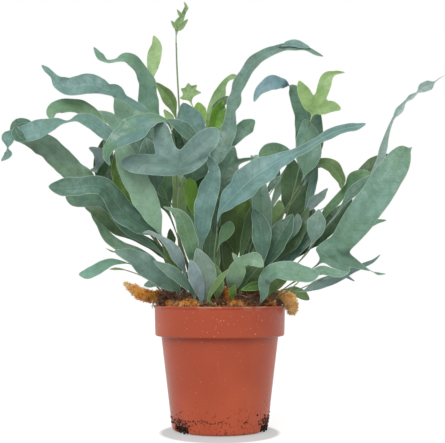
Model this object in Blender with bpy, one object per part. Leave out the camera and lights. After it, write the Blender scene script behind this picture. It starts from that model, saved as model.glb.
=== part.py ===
"""Blue star fern in a plain plastic nursery pot.

The pot stands on z = 0 with its axis on Z, and the front of the plant faces -Y.
Tables and named sizes are in centimetres; everything is scaled by CM when it becomes a mesh.
Each frond is a stalk that widens into a blade: a smooth curve through a few stations, with a
flat four-sided section that is square on the stalk and a thin diamond across the blade.
"""

from math import cos, pi, radians, sin

import bmesh
import bpy
from mathutils import Matrix, Vector

CM = 0.01
GAP = 0.03                # clearance between pieces that touch

# Nursery pot, a 12 cm size
POT_HEIGHT = 11.3
POT_WALL = 0.12
RIM_RADIUS = 6.05
COLLAR_RADIUS = 5.9       # the collar narrows a little to its lower edge
COLLAR_HEIGHT = 2.75
BODY_RADIUS = 5.36        # just under the collar
BASE_RADIUS = 4.34
FOOT_ROUND = 0.35
NOTCH_WIDTH = 2.0
NOTCH_HEIGHT = 0.7
NOTCH_COUNT = 3
FIRST_NOTCH = 218         # degrees, at the front left
FLOOR_HOLE_RADIUS = 0.35
FLOOR_HOLE_RING = 2.6
POT_SIDES = 72

# Top of the growing medium, from the wall to the middle: radius, height
SOIL_TOP = [(5.72, 10.75), (5.2, 11.25), (4.4, 11.75), (3.0, 12.15), (0.0, 12.45)]
SOIL_SIDES = 36

# Fronds
STALK = 0.16              # thickness of a stalk
BLADE = 0.11              # thickness along a blade's middle
TIP = 0.05                # thickness just before the tip
RINGS_PER_STEP = 2        # rings of the mesh for each step between stations

COLOURS = {
    "plastic": (0.45, 0.10, 0.045),
    "soil": (0.045, 0.027, 0.015),
    "rhizome": (0.42, 0.17, 0.03),
    "blue": (0.17, 0.34, 0.31),
    "sky": (0.20, 0.38, 0.37),
    "grey": (0.17, 0.29, 0.24),
    "dark": (0.13, 0.26, 0.20),
    "deep": (0.05, 0.11, 0.02),
    "green": (0.12, 0.28, 0.12),
    "mint": (0.20, 0.40, 0.30),
    "pale": (0.24, 0.40, 0.26),
    "olive": (0.10, 0.16, 0.04),
    "young": (0.33, 0.50, 0.20),
}


# ---- helpers -------------------------------------------------------------------------------

def clear_scene():
    """Removes what the scene holds already."""
    for thing in list(bpy.data.objects):
        bpy.data.objects.remove(thing, do_unlink=True)


def finish_material(name, colour, roughness):
    """A Principled material of one colour."""
    material = bpy.data.materials.new(name)
    material.use_nodes = True
    shader = material.node_tree.nodes["Principled BSDF"]
    shader.inputs["Base Color"].default_value = (*colour, 1.0)
    shader.inputs["Roughness"].default_value = roughness
    shader.inputs["Metallic"].default_value = 0.0
    return material


def add_object(name, mesh_bm, tone, roughness=0.55):
    """Turns a bmesh in centimetres into a named object with its own material."""
    bmesh.ops.scale(mesh_bm, vec=(CM, CM, CM), verts=mesh_bm.verts)
    mesh = bpy.data.meshes.new(name)
    mesh_bm.to_mesh(mesh)
    mesh_bm.free()
    made = bpy.data.objects.new(name, mesh)
    bpy.context.scene.collection.objects.link(made)
    mesh.materials.append(finish_material(name, COLOURS[tone], roughness))
    return made


def boolean(target, helper, operation):
    """Joins or cuts a solid with a helper that is left out of the build."""
    step = target.modifiers.new(helper.name, "BOOLEAN")
    step.operation = operation
    step.solver = "EXACT"
    step.object = helper
    helper.hide_render = True
    helper.display_type = "WIRE"


def turned(profile, sides):
    """Spins a closed profile of (radius, height) points about Z into a closed solid."""
    bm = bmesh.new()
    points = [bm.verts.new((radius, 0.0, height)) for radius, height in profile]
    edges = [bm.edges.new((a, b)) for a, b in zip(points, points[1:])]
    if profile[0][0] > 0.0:
        edges.append(bm.edges.new((points[-1], points[0])))
    bmesh.ops.spin(bm, geom=points + edges, angle=2 * pi, steps=sides, axis=(0, 0, 1), cent=(0, 0, 0))
    bmesh.ops.remove_doubles(bm, verts=bm.verts, dist=1e-4)
    bmesh.ops.recalc_face_normals(bm, faces=bm.faces)
    return bm


# ---- pot and growing medium ----------------------------------------------------------------

def collar_bottom():
    return POT_HEIGHT - COLLAR_HEIGHT


def pot_profile():
    """Section of the pot wall, closed: out over the floor, up the outside, down the inside."""
    round_foot = [
        (BASE_RADIUS - FOOT_ROUND + FOOT_ROUND * sin(a), FOOT_ROUND - FOOT_ROUND * cos(a))
        for a in (radians(step) for step in (0, 30, 60, 90))
    ]
    collar = collar_bottom()
    outside = round_foot + [
        (BODY_RADIUS, collar),
        (COLLAR_RADIUS - 0.12, collar),
        (COLLAR_RADIUS, collar + 0.16),
        (RIM_RADIUS, POT_HEIGHT - 0.05),
        (RIM_RADIUS - 0.05, POT_HEIGHT),
    ]
    inside = [
        (RIM_RADIUS - POT_WALL, POT_HEIGHT),
        (COLLAR_RADIUS - POT_WALL, collar + POT_WALL),
        (BODY_RADIUS - POT_WALL, collar + POT_WALL),
        (BASE_RADIUS - POT_WALL, FOOT_ROUND + POT_WALL),
        (BASE_RADIUS - FOOT_ROUND, POT_WALL),
    ]
    return [(0.0, 0.0)] + outside + inside + [(0.0, POT_WALL)]


def box_cutter(name, size, place, turn):
    bpy.ops.mesh.primitive_cube_add(size=1.0, location=place * CM, rotation=(0, 0, turn))
    cutter = bpy.context.object
    cutter.name = name
    cutter.data.transform(Matrix.Diagonal((*(size * CM), 1.0)))
    return cutter


def make_pot():
    """Thin-walled pot with drainage notches at its foot and holes in its floor."""
    pot = add_object("pot", turned(pot_profile(), POT_SIDES), "plastic", roughness=0.4)
    depth = 1.4
    for count in range(NOTCH_COUNT):
        angle = radians(FIRST_NOTCH + count * 360 / NOTCH_COUNT)
        out = Vector((cos(angle), sin(angle), 0.0))
        size = Vector((depth, NOTCH_WIDTH, NOTCH_HEIGHT + 1.0))
        place = out * (BASE_RADIUS + 0.1) + Vector((0, 0, NOTCH_HEIGHT / 2 - 0.5))
        boolean(pot, box_cutter(f"notch_{count + 1}", size, place, angle), "DIFFERENCE")
    for count in range(2 * NOTCH_COUNT):
        angle = radians(FIRST_NOTCH + 30 + count * 60)
        place = Vector((cos(angle), sin(angle), 0.0)) * FLOOR_HOLE_RING * CM
        bpy.ops.mesh.primitive_cylinder_add(
            vertices=16, radius=FLOOR_HOLE_RADIUS * CM, depth=1.0 * CM, location=place)
        cutter = bpy.context.object
        cutter.name = f"floor_hole_{count + 1}"
        boolean(pot, cutter, "DIFFERENCE")
    pot.data.shade_smooth()
    return pot


def soil_height(radius):
    """Height of the growing medium at a distance from the pot's axis."""
    for (outer, low), (inner, high) in zip(SOIL_TOP, SOIL_TOP[1:]):
        if inner <= radius <= outer:
            return high + (low - high) * (radius - inner) / (outer - inner)
    return SOIL_TOP[0][1]


def make_soil():
    """Growing medium: it fills the pot and mounds up in the middle."""
    collar = collar_bottom()
    inner_foot = BASE_RADIUS - POT_WALL - GAP
    wall = [
        (inner_foot - FOOT_ROUND, POT_WALL + GAP),
        (inner_foot, FOOT_ROUND + POT_WALL + GAP),
        (BODY_RADIUS - POT_WALL - GAP, collar + POT_WALL),
        (BODY_RADIUS - POT_WALL - GAP, collar + POT_WALL + GAP),
        (COLLAR_RADIUS - POT_WALL - GAP, collar + POT_WALL + GAP),
    ]
    profile = [(0.0, POT_WALL + GAP)] + wall + SOIL_TOP
    return add_object("growing_medium", turned(profile, SOIL_SIDES), "soil", roughness=0.95)


# ---- curves through stations ---------------------------------------------------------------

def slopes(knots, values, keep_flat):
    """Slope at each knot; with keep_flat, peaks stay peaks so that nothing overshoots."""
    steps = [(b - a) / (k - j) for a, b, j, k in zip(values, values[1:], knots, knots[1:])]
    result = [steps[0]]
    for index in range(1, len(values) - 1):
        before, after = steps[index - 1], steps[index]
        left = knots[index] - knots[index - 1]
        right = knots[index + 1] - knots[index]
        slope = (before * right + after * left) / (left + right)
        if keep_flat and before * after <= 0:
            slope = 0.0
        elif keep_flat:
            limit = 3 * min(abs(before), abs(after))
            slope = max(-limit, min(limit, slope))
        result.append(slope)
    return result + [steps[-1]]


def hermite(knots, values, slope_list, index, t):
    """Value a fraction t of the way from knot index to the next."""
    span = knots[index + 1] - knots[index]
    a, b = values[index], values[index + 1]
    m, n = slope_list[index] * span, slope_list[index + 1] * span
    return a + t * (m + t * (3 * (b - a) - 2 * m - n + t * (2 * (a - b) + m + n)))


def smooth_stations(stations):
    """Samples (x, y, z, width, roll) stations along a smooth curve."""
    knots = [0.0]
    for a, b in zip(stations, stations[1:]):
        knots.append(knots[-1] + (Vector(a[:3]) - Vector(b[:3])).length)
    columns = list(zip(*stations))
    slope_lists = [slopes(knots, column, keep_flat=place > 2) for place, column in enumerate(columns)]
    samples = []
    for index in range(len(stations) - 1):
        for part in range(RINGS_PER_STEP):
            t = part / RINGS_PER_STEP
            samples.append([hermite(knots, c, s, index, t) for c, s in zip(columns, slope_lists)])
    return samples + [list(stations[-1])]


# ---- fronds --------------------------------------------------------------------------------

def full_station(station):
    """Fills in a width of 0 and a roll of 0 where a station leaves them out."""
    return tuple(station) + (0.0,) * (5 - len(station))


def blade_mesh(stations, face, flat_foot):
    """Closed solid along the stations, as wide as each says, its upper side turned to face."""
    samples = smooth_stations([full_station(s) for s in stations])
    places = [Vector(s[:3]) for s in samples]
    bm = bmesh.new()
    rings = []
    for index, (x, y, z, width, roll) in enumerate(samples[:-1]):
        ahead = places[min(index + 1, len(places) - 1)]
        behind = places[max(index - 1, 0)]
        along = (ahead - behind).normalized()
        if index == 0 and flat_foot:
            along = Vector((0.0, 0.0, 1.0))
        normal = (face - face.dot(along) * along).normalized()
        normal = Matrix.Rotation(radians(roll), 3, along) @ normal
        across = along.cross(normal)
        half = max(width, STALK) / 2
        blend = min(1.0, width / 0.8)
        thick = STALK + (BLADE - STALK) * blend
        if index == len(samples) - 2:
            thick = TIP
        middle = places[index]
        corners = (-half * across, thick / 2 * normal, half * across, -thick / 2 * normal)
        rings.append([bm.verts.new(middle + corner) for corner in corners])
    bm.faces.new(list(reversed(rings[0])))
    for ring, following in zip(rings, rings[1:]):
        for side in range(4):
            other = (side + 1) % 4
            quad = [ring[side], ring[other], following[other], following[side]]
            if side > 1:  # the lower side is split as the upper one is, so that a twist keeps its thickness
                quad = quad[1:] + quad[:1]
            bm.faces.new((quad[0], quad[1], quad[2]))
            bm.faces.new((quad[0], quad[2], quad[3]))
    tip = bm.verts.new(places[-1])
    for side in range(4):
        bm.faces.new((rings[-1][side], rings[-1][(side + 1) % 4], tip))
    bmesh.ops.recalc_face_normals(bm, faces=bm.faces)
    return bm


def make_frond(name, tone, face, foot, route, lobes=()):
    """One frond: its foot stands on the growing medium, and lobes are joined to its blade."""
    facing = Vector(face).normalized()
    radius = Vector(foot).length
    foot_height = soil_height(max(0.0, radius - STALK * 0.75)) + GAP
    stations = [(*foot, foot_height)] + list(route)
    blade = add_object(name, blade_mesh(stations, facing, flat_foot=True), tone)
    for count, lobe in enumerate(lobes):
        arm = add_object(f"{name}_lobe_{count + 1}", blade_mesh(lobe, facing, flat_foot=False), tone)
        boolean(blade, arm, "UNION")
    return blade


FRONT = (0.0, -1.0, 0.2)
SKY = (0.0, -0.8, 0.6)
LEANING = (-0.35, -0.9, 0.3)
BACK = (0.0, -0.15, 1.0)


def make_left_fronds():
    """Fronds that rise and spread to the left."""
    make_frond("frond_upper_left_arch", "dark", (0.35, -1.0, 0.1), (-1.0, 2.7), [
        (-3.1, 3.0, 18.0), (-5.6, 4.0, 26.2, 0.4), (-6.4, 4.2, 28.7, 2.0), (-6.9, 4.2, 31.1, 2.1),
        (-7.2, 3.8, 33.0, 1.8, 10), (-7.9, 3.0, 34.1, 1.5, 15), (-8.9, 2.0, 34.8, 1.2, 10),
        (-9.9, 1.4, 34.6, 0.5, 40), (-10.7, 1.0, 34.4, 0.4, 30), (-11.2, 0.8, 34.7, 0.7),
        (-11.6, 0.6, 35.3)])
    make_frond("frond_wavy_upper_left", "blue", SKY, (-2.1, 1.2), [
        (-3.3, 1.5, 17.9), (-5.5, 2.4, 27.9), (-6.4, 2.4, 29.4, 0.5), (-7.6, 2.3, 30.3, 1.0, 10),
        (-8.8, 2.1, 30.8, 0.8, 25), (-10.0, 2.0, 31.4, 1.4, 10), (-11.1, 1.9, 31.8, 1.7),
        (-12.4, 1.8, 32.1, 1.9), (-13.7, 1.8, 32.0, 1.7), (-15.0, 1.8, 32.4, 1.5),
        (-16.0, 1.8, 33.1, 0.8), (-16.8, 1.8, 33.9)])
    make_frond("frond_pale_behind_wavy", "pale", (0.3, -1.0, 0.3), (-1.8, 2.6), [
        (-3.5, 3.1, 18.0), (-6.1, 4.0, 24.3), (-7.2, 4.4, 26.8, 0.4), (-8.3, 4.8, 28.8, 1.8),
        (-9.3, 4.8, 30.2, 2.0), (-10.0, 4.6, 31.4, 1.2), (-10.2, 4.6, 31.9)])
    make_frond("frond_green_arch_left", "mint", SKY, (-2.9, 1.5), [
        (-5.8, 1.9, 17.9), (-8.0, 2.6, 23.6), (-9.1, 2.8, 26.2), (-10.1, 2.9, 27.7, 0.4),
        (-11.0, 3.0, 28.8, 0.9), (-12.1, 3.0, 29.8, 1.2), (-13.4, 3.0, 30.4, 1.3),
        (-14.6, 2.8, 30.4, 1.3), (-15.6, 2.4, 30.1, 1.1), (-15.9, 1.9, 29.4, 0.6), (-15.6, 1.5, 28.8)])
    make_frond("frond_long_left_twisted", "blue", SKY, (-3.0, 0.3), [
        (-6.1, 0.3, 17.8), (-7.9, -0.2, 22.8), (-8.9, -0.6, 25.3, 0.2), (-9.7, -0.9, 26.5, 0.8),
        (-10.7, -1.1, 27.4, 1.3), (-11.7, -1.2, 28.0, 1.2), (-12.8, -1.3, 28.3, 1.0, 10),
        (-13.8, -1.4, 28.1, 0.6, 35), (-14.8, -1.6, 27.8, 1.1, 10), (-15.8, -1.8, 27.5, 1.4),
        (-16.8, -2.1, 27.1, 1.6), (-17.8, -2.4, 27.0, 1.6, -10), (-18.5, -2.7, 26.6, 1.0, -25),
        (-19.0, -2.9, 26.2, 0.8), (-18.9, -3.0, 25.3, 0.5, 30), (-19.4, -3.0, 24.3)])
    make_frond("frond_broad_left", "grey", (0.3, -0.9, 0.4), (-3.7, 1.0), [
        (-6.3, 1.2, 17.6), (-8.6, 1.3, 20.4), (-10.0, 1.3, 21.5, 0.5), (-11.5, 1.2, 22.8, 2.0),
        (-12.9, 1.0, 24.0, 2.4), (-14.4, 0.8, 25.2, 2.3), (-15.8, 0.6, 26.0, 1.9),
        (-17.1, 0.4, 26.5, 1.3), (-18.3, 0.2, 26.7, 0.7), (-19.0, 0.2, 26.9)])
    make_frond("frond_mid_left_dark", "dark", SKY, (-2.9, -2.1), [
        (-5.0, -2.7, 17.2, 0.1), (-6.0, -2.9, 18.0, 0.7), (-7.0, -3.2, 18.5, 1.4),
        (-8.0, -3.6, 19.3, 1.7), (-8.7, -3.9, 20.3, 1.7), (-9.4, -4.3, 21.2, 1.5),
        (-10.2, -4.7, 21.7, 1.4), (-11.3, -5.1, 21.8, 1.6), (-12.5, -5.4, 21.7, 1.6),
        (-13.7, -5.7, 21.6, 1.3), (-14.7, -6.0, 21.6)])
    make_frond("frond_mid_left_lower", "grey", SKY, (-3.7, -1.2), [
        (-5.4, -1.3, 16.1, 0.2), (-6.5, -1.4, 16.9, 0.8), (-7.8, -1.7, 17.6, 1.0),
        (-8.9, -1.9, 18.6, 1.3), (-9.6, -2.1, 19.6, 1.4), (-10.3, -2.4, 20.4, 1.4),
        (-11.3, -2.7, 20.7, 1.2), (-12.4, -3.0, 20.7, 1.1), (-13.4, -3.2, 20.9)])
    make_frond("frond_low_left_green", "green", SKY, (-4.5, -0.3), [
        (-5.8, -0.1, 15.5, 0.3), (-6.9, 0.2, 16.0, 0.8), (-8.2, 0.4, 16.4, 1.0),
        (-9.4, 0.6, 16.9, 1.2), (-10.5, 0.8, 17.6, 1.1), (-11.3, 0.9, 18.8, 0.8),
        (-11.9, 1.0, 19.8, 0.4), (-12.2, 1.0, 20.3)])
    make_frond("frond_low_left_broad", "grey", SKY, (-3.4, -3.3), [
        (-3.6, -3.9, 12.7, 0.3), (-4.2, -4.5, 13.2, 1.2), (-5.1, -5.2, 13.8, 1.7),
        (-6.1, -5.9, 14.5, 1.7), (-7.1, -6.5, 15.2, 1.5), (-7.9, -7.0, 15.7, 0.9), (-8.5, -7.4, 16.1)])
    make_frond("frond_small_far_left", "mint", SKY, (-4.6, 0.8), [
        (-6.3, 1.2, 13.6), (-7.3, 1.6, 14.4), (-8.3, 1.9, 15.1), (-9.2, 2.2, 15.3, 0.3),
        (-10.1, 2.5, 15.2, 0.8), (-11.0, 2.8, 15.0, 1.1), (-11.9, 3.0, 14.7, 1.1),
        (-12.8, 3.2, 14.4, 0.9), (-13.5, 3.4, 14.2)])
    make_frond("frond_dark_lobed_left", "dark", (0.2, -1.0, 0.3), (-2.4, 2.0), [
        (-6.0, 2.6, 18.0), (-8.8, 3.8, 21.4), (-10.2, 4.4, 23.1, 0.4), (-11.0, 4.8, 24.4, 1.8),
        (-11.5, 4.8, 25.6, 1.5), (-12.0, 4.6, 26.2, 0.9), (-12.7, 4.4, 26.5)], lobes=[
        [(-10.9, 4.8, 24.3, 0.5), (-11.5, 4.7, 24.4, 0.8), (-12.7, 4.6, 24.3)],
        [(-11.1, 4.8, 24.8, 0.5), (-10.9, 4.9, 26.2, 1.0), (-11.3, 5.0, 27.4)]])
    make_frond("frond_pale_left_front", "pale", FRONT, (-2.2, -2.2), [
        (-4.6, -2.8, 14.9), (-5.1, -3.5, 16.9), (-5.3, -3.9, 17.9, 0.4), (-5.7, -4.2, 18.9, 1.3),
        (-6.2, -4.5, 20.0, 2.0), (-6.8, -4.8, 21.3, 2.3), (-7.5, -5.0, 22.7, 2.3),
        (-8.0, -5.0, 24.1, 1.9), (-8.5, -4.8, 25.2, 1.0), (-8.8, -4.6, 25.9)])
    make_frond("frond_glossy_drooping", "sky", (-0.1, -1.0, 0.55), (-1.4, -1.5), [
        (-3.4, -2.2, 16.3), (-3.8, -3.6, 22.4), (-4.1, -4.6, 26.2), (-4.6, -5.4, 27.3, 0.3),
        (-5.6, -6.2, 27.4, 1.2), (-6.6, -6.9, 26.8, 2.2), (-7.7, -7.4, 26.0, 2.4),
        (-8.7, -7.6, 25.2, 1.8), (-9.3, -7.6, 24.3, 0.8), (-9.1, -7.4, 23.3)])
    make_frond("frond_dark_under_trilobe", "dark", (0.0, -1.0, 0.4), (-1.6, -0.9), [
        (-3.6, -1.5, 17.3), (-4.2, -2.3, 20.2), (-5.6, -2.9, 21.5, 0.2), (-5.8, -3.1, 22.2, 1.3),
        (-5.9, -3.3, 23.2, 2.2), (-6.1, -3.3, 24.2, 2.3), (-6.4, -3.1, 25.4, 1.4), (-6.6, -2.9, 26.3)])


def make_centre_fronds():
    """Fronds that stand in the middle, with the crossing blue one at the front."""
    make_frond("frond_young_upright", "young", FRONT, (-0.5, 3.6), [
        (-2.7, 3.9, 18.0), (-5.3, 4.6, 26.3), (-6.5, 5.0, 33.4, 0.2), (-6.5, 5.0, 34.6, 1.1),
        (-6.2, 5.0, 35.9, 1.3), (-6.1, 5.0, 36.8, 0.9), (-6.4, 5.0, 37.7)])
    make_frond("frond_tall_fiddlehead", "young", FRONT, (-0.6, 1.2), [
        (-3.2, 1.4, 17.9), (-3.6, 1.6, 25.9), (-3.9, 1.6, 31.0), (-4.1, 1.6, 35.3),
        (-4.1, 1.6, 37.0, 0.2), (-3.9, 1.6, 37.8, 0.8), (-3.6, 1.6, 38.5, 0.5, 30),
        (-3.4, 1.6, 39.0, 0.4, 40), (-3.2, 1.6, 39.5, 0.3, 20), (-3.4, 1.6, 40.0)], lobes=[
        [(-3.9, 1.6, 37.4, 0.4), (-4.2, 1.5, 37.6, 0.5), (-4.6, 1.3, 38.1)],
        [(-3.9, 1.6, 37.3, 0.4), (-3.6, 1.5, 37.6, 0.6), (-3.0, 1.2, 38.2)]])
    make_frond("frond_folded_green", "olive", (-0.5, -1.0, 0.2), (-0.3, 2.3), [
        (-3.2, 2.6, 17.9), (-3.8, 3.0, 25.1), (-4.1, 3.0, 28.2, 0.5), (-4.7, 3.0, 29.9, 1.6),
        (-5.4, 3.0, 31.2, 1.1), (-6.3, 3.0, 32.7)])
    make_frond("frond_small_star", "young", FRONT, (0.4, 1.9), [
        (-1.4, 2.4, 17.9), (-1.6, 2.9, 26.1), (-2.2, 2.9, 29.4), (-2.8, 2.9, 30.8, 0.2),
        (-3.0, 2.7, 31.6, 0.8), (-3.0, 2.6, 32.4)], lobes=[
        [(-2.85, 2.8, 31.2, 0.3), (-3.3, 2.7, 31.1, 0.5), (-3.8, 2.6, 31.0)],
        [(-2.9, 2.82, 31.35, 0.3), (-3.3, 2.7, 31.65, 0.5), (-3.7, 2.6, 31.9)],
        [(-2.95, 2.78, 31.3, 0.3), (-2.4, 2.7, 31.5, 0.5), (-1.8, 2.5, 31.5)],
        [(-2.95, 2.8, 31.45, 0.3), (-2.6, 2.7, 31.9, 0.5), (-2.2, 2.5, 32.2)]])
    make_frond("frond_pale_green_curl", "pale", (-0.3, -1.0, 0.2), (0.6, 2.9), [
        (-0.7, 3.4, 18.0), (-0.6, 4.2, 24.8), (-0.8, 4.4, 26.8, 0.4), (-0.9, 4.6, 28.8, 1.2),
        (-0.6, 4.6, 30.5, 1.4), (0.0, 4.6, 32.0, 1.4), (0.5, 4.4, 33.0, 0.6, 20),
        (1.0, 4.2, 33.5, 0.7), (1.8, 4.0, 33.4)])
    make_frond("frond_tall_right_arch", "dark", (-0.25, -1.0, 0.1), (0.9, 0.9), [
        (0.0, 1.2, 17.9), (-0.3, 1.6, 23.8, 0.5), (0.1, 1.8, 26.1, 2.1), (0.7, 2.0, 28.4, 2.1),
        (1.2, 2.0, 30.4, 1.7), (1.7, 2.0, 32.0, 1.3), (2.2, 1.8, 33.3, 1.3), (3.0, 1.5, 34.3, 1.4),
        (4.0, 1.2, 35.0, 1.3, 10), (5.3, 0.8, 35.4, 1.1, 20), (6.6, 0.4, 35.5, 1.0, 10),
        (7.7, 0.0, 35.2, 0.8, -25), (8.6, -0.4, 34.7, 0.4, -15), (9.6, -0.6, 34.2)])
    make_frond("frond_rounded_behind", "dark", (0.2, -1.0, 0.1), (1.6, 2.4), [
        (0.4, 3.4, 22.3), (0.6, 3.6, 24.2, 0.4), (1.2, 3.8, 26.0, 1.3), (2.0, 4.0, 27.4, 1.7),
        (2.8, 4.0, 28.5, 1.6), (3.4, 3.8, 29.3)])
    make_frond("frond_broad_centre", "dark", (0.3, -1.0, 0.3), (0.0, 0.2), [
        (-1.2, 0.4, 18.7), (-1.2, 0.6, 22.9), (-1.3, 0.6, 24.8, 0.6), (-1.8, 0.5, 26.6, 2.4),
        (-2.4, 0.2, 28.1, 2.8), (-3.0, 0.0, 29.3, 1.6), (-3.3, -0.2, 30.0)])
    make_frond("frond_centre_trilobe", "grey", (0.05, -1.0, 0.35), (-2.3, -3.1), [
        (-3.4, -3.9, 15.2), (-3.6, -5.4, 20.9), (-3.4, -6.0, 22.8, 0.3), (-3.9, -6.3, 23.9, 1.7),
        (-4.6, -6.3, 24.8, 1.7), (-5.1, -6.0, 25.8, 1.4), (-5.5, -5.5, 27.0)], lobes=[
        [(-3.5, -6.1, 23.1, 0.8), (-4.7, -6.4, 23.3, 1.7), (-6.2, -6.5, 23.4, 1.7),
         (-7.5, -6.4, 23.5, 1.6), (-8.6, -6.2, 23.8)],
        [(-3.6, -6.1, 23.3, 0.8), (-2.7, -6.3, 24.0, 1.9), (-1.7, -6.3, 25.0, 2.0),
         (-0.9, -6.1, 25.8, 1.7), (-0.3, -5.8, 26.6)],
        [(-3.4, -6.1, 23.0, 0.6), (-2.7, -6.1, 23.3, 1.1), (-1.9, -6.0, 23.7, 0.9),
         (-1.1, -5.8, 24.1)]])
    make_frond("frond_olive_inner", "olive", (0.4, -1.0, 0.1), (-0.9, -0.4), [
        (-3.6, -0.8, 16.8), (-3.7, -0.9, 18.2, 0.4), (-3.7, -1.0, 19.7, 1.2),
        (-3.6, -1.0, 21.5, 1.4), (-3.8, -0.9, 23.3, 1.2), (-4.2, -0.7, 24.9)])
    make_frond("frond_front_left_curved", "grey", FRONT, (-1.3, -4.1), [
        (-1.9, -4.9, 13.5, 0.2), (-2.1, -5.3, 14.9, 0.8), (-2.4, -5.7, 16.3, 1.4),
        (-2.9, -5.9, 17.6, 1.5), (-3.4, -5.9, 18.8, 1.1), (-4.1, -5.7, 19.5, 0.6), (-4.9, -5.5, 19.9)])
    make_frond("frond_front_centre_upright", "blue", FRONT, (-0.6, -3.0), [
        (-1.5, -3.6, 15.2), (-1.6, -4.0, 16.9, 0.4), (-1.5, -4.3, 18.1, 1.3),
        (-1.3, -4.5, 19.5, 1.6), (-1.0, -4.7, 20.9, 1.8), (-0.6, -4.8, 22.0, 1.5),
        (-0.6, -4.8, 23.1, 0.9), (-1.0, -4.7, 24.0, 0.5), (-1.3, -4.6, 24.6)])
    make_frond("frond_long_blue_crossing", "sky", (-0.35, -0.85, 0.45), (0.1, -3.5), [
        (-0.5, -4.0, 15.2), (-0.3, -4.4, 17.5), (0.0, -4.8, 19.5, 0.4), (0.9, -5.2, 20.6, 1.5),
        (2.0, -5.6, 21.6, 2.2), (3.1, -5.8, 22.6, 2.4), (4.3, -5.8, 23.4, 2.0),
        (5.3, -5.6, 24.0, 1.3), (6.3, -5.3, 24.5, 0.8), (7.3, -5.0, 24.9, 0.6, 20),
        (8.5, -4.6, 25.7, 0.8), (9.9, -4.2, 26.4, 1.0), (11.2, -3.8, 26.8, 0.8),
        (12.2, -3.5, 27.0, 0.6), (13.0, -3.3, 27.4)])
    make_frond("frond_dark_centre", "deep", FRONT, (0.8, -0.2), [
        (0.2, -0.3, 17.3), (0.4, -0.3, 20.1, 0.4), (0.5, -0.3, 21.4, 1.6), (0.6, -0.2, 23.0, 2.3),
        (0.9, 0.0, 24.3, 1.5), (1.3, 0.2, 26.0)], lobes=[
        [(0.7, -0.1, 23.8, 0.6), (1.7, 0.1, 24.3, 0.6), (3.5, 0.4, 25.0)]])
    make_frond("frond_dark_olive_centre", "deep", FRONT, (1.3, -0.7), [
        (1.7, -0.9, 16.4, 0.4), (1.8, -0.9, 17.7, 2.0), (1.8, -0.9, 19.3, 2.4),
        (2.0, -0.9, 20.6, 1.5), (2.2, -0.8, 21.7)])
    make_frond("frond_slim_upright_right", "green", (0.2, -1.0, 0.1), (2.1, -1.6), [
        (3.8, -1.8, 15.2), (4.0, -1.9, 16.8, 0.4), (4.1, -2.0, 18.6, 1.1), (4.1, -2.1, 20.3, 1.1),
        (4.0, -2.1, 21.6, 0.7), (4.0, -2.0, 22.7)])
    make_frond("frond_oval_dark", "dark", FRONT, (1.9, -2.9), [
        (3.4, -3.2, 14.0), (3.7, -3.4, 15.1, 0.4), (3.7, -3.6, 16.2, 1.1), (3.6, -3.8, 17.6, 1.7),
        (3.4, -3.9, 18.9, 1.3), (3.0, -3.8, 20.0, 0.6), (2.9, -3.7, 20.8)])
    make_frond("frond_folded_front", "mint", FRONT, (1.2, -4.0), [
        (1.1, -4.6, 12.6, 0.4), (1.1, -5.4, 13.5, 1.4), (1.5, -6.0, 14.6, 1.6),
        (2.0, -6.3, 15.5, 1.3), (2.6, -6.6, 15.7, 1.3, 10), (3.2, -6.8, 15.4, 0.9, 10),
        (3.6, -6.9, 14.9)])
    make_frond("frond_front_grey_broad", "grey", FRONT, (-1.1, -4.7), [
        (-1.2, -5.2, 12.1, 0.4), (-1.1, -5.7, 13.0, 1.3), (-1.2, -6.0, 14.0, 1.8),
        (-1.5, -6.1, 15.0, 1.6), (-1.8, -6.1, 15.8, 0.8), (-2.0, -6.0, 16.3)])


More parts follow.
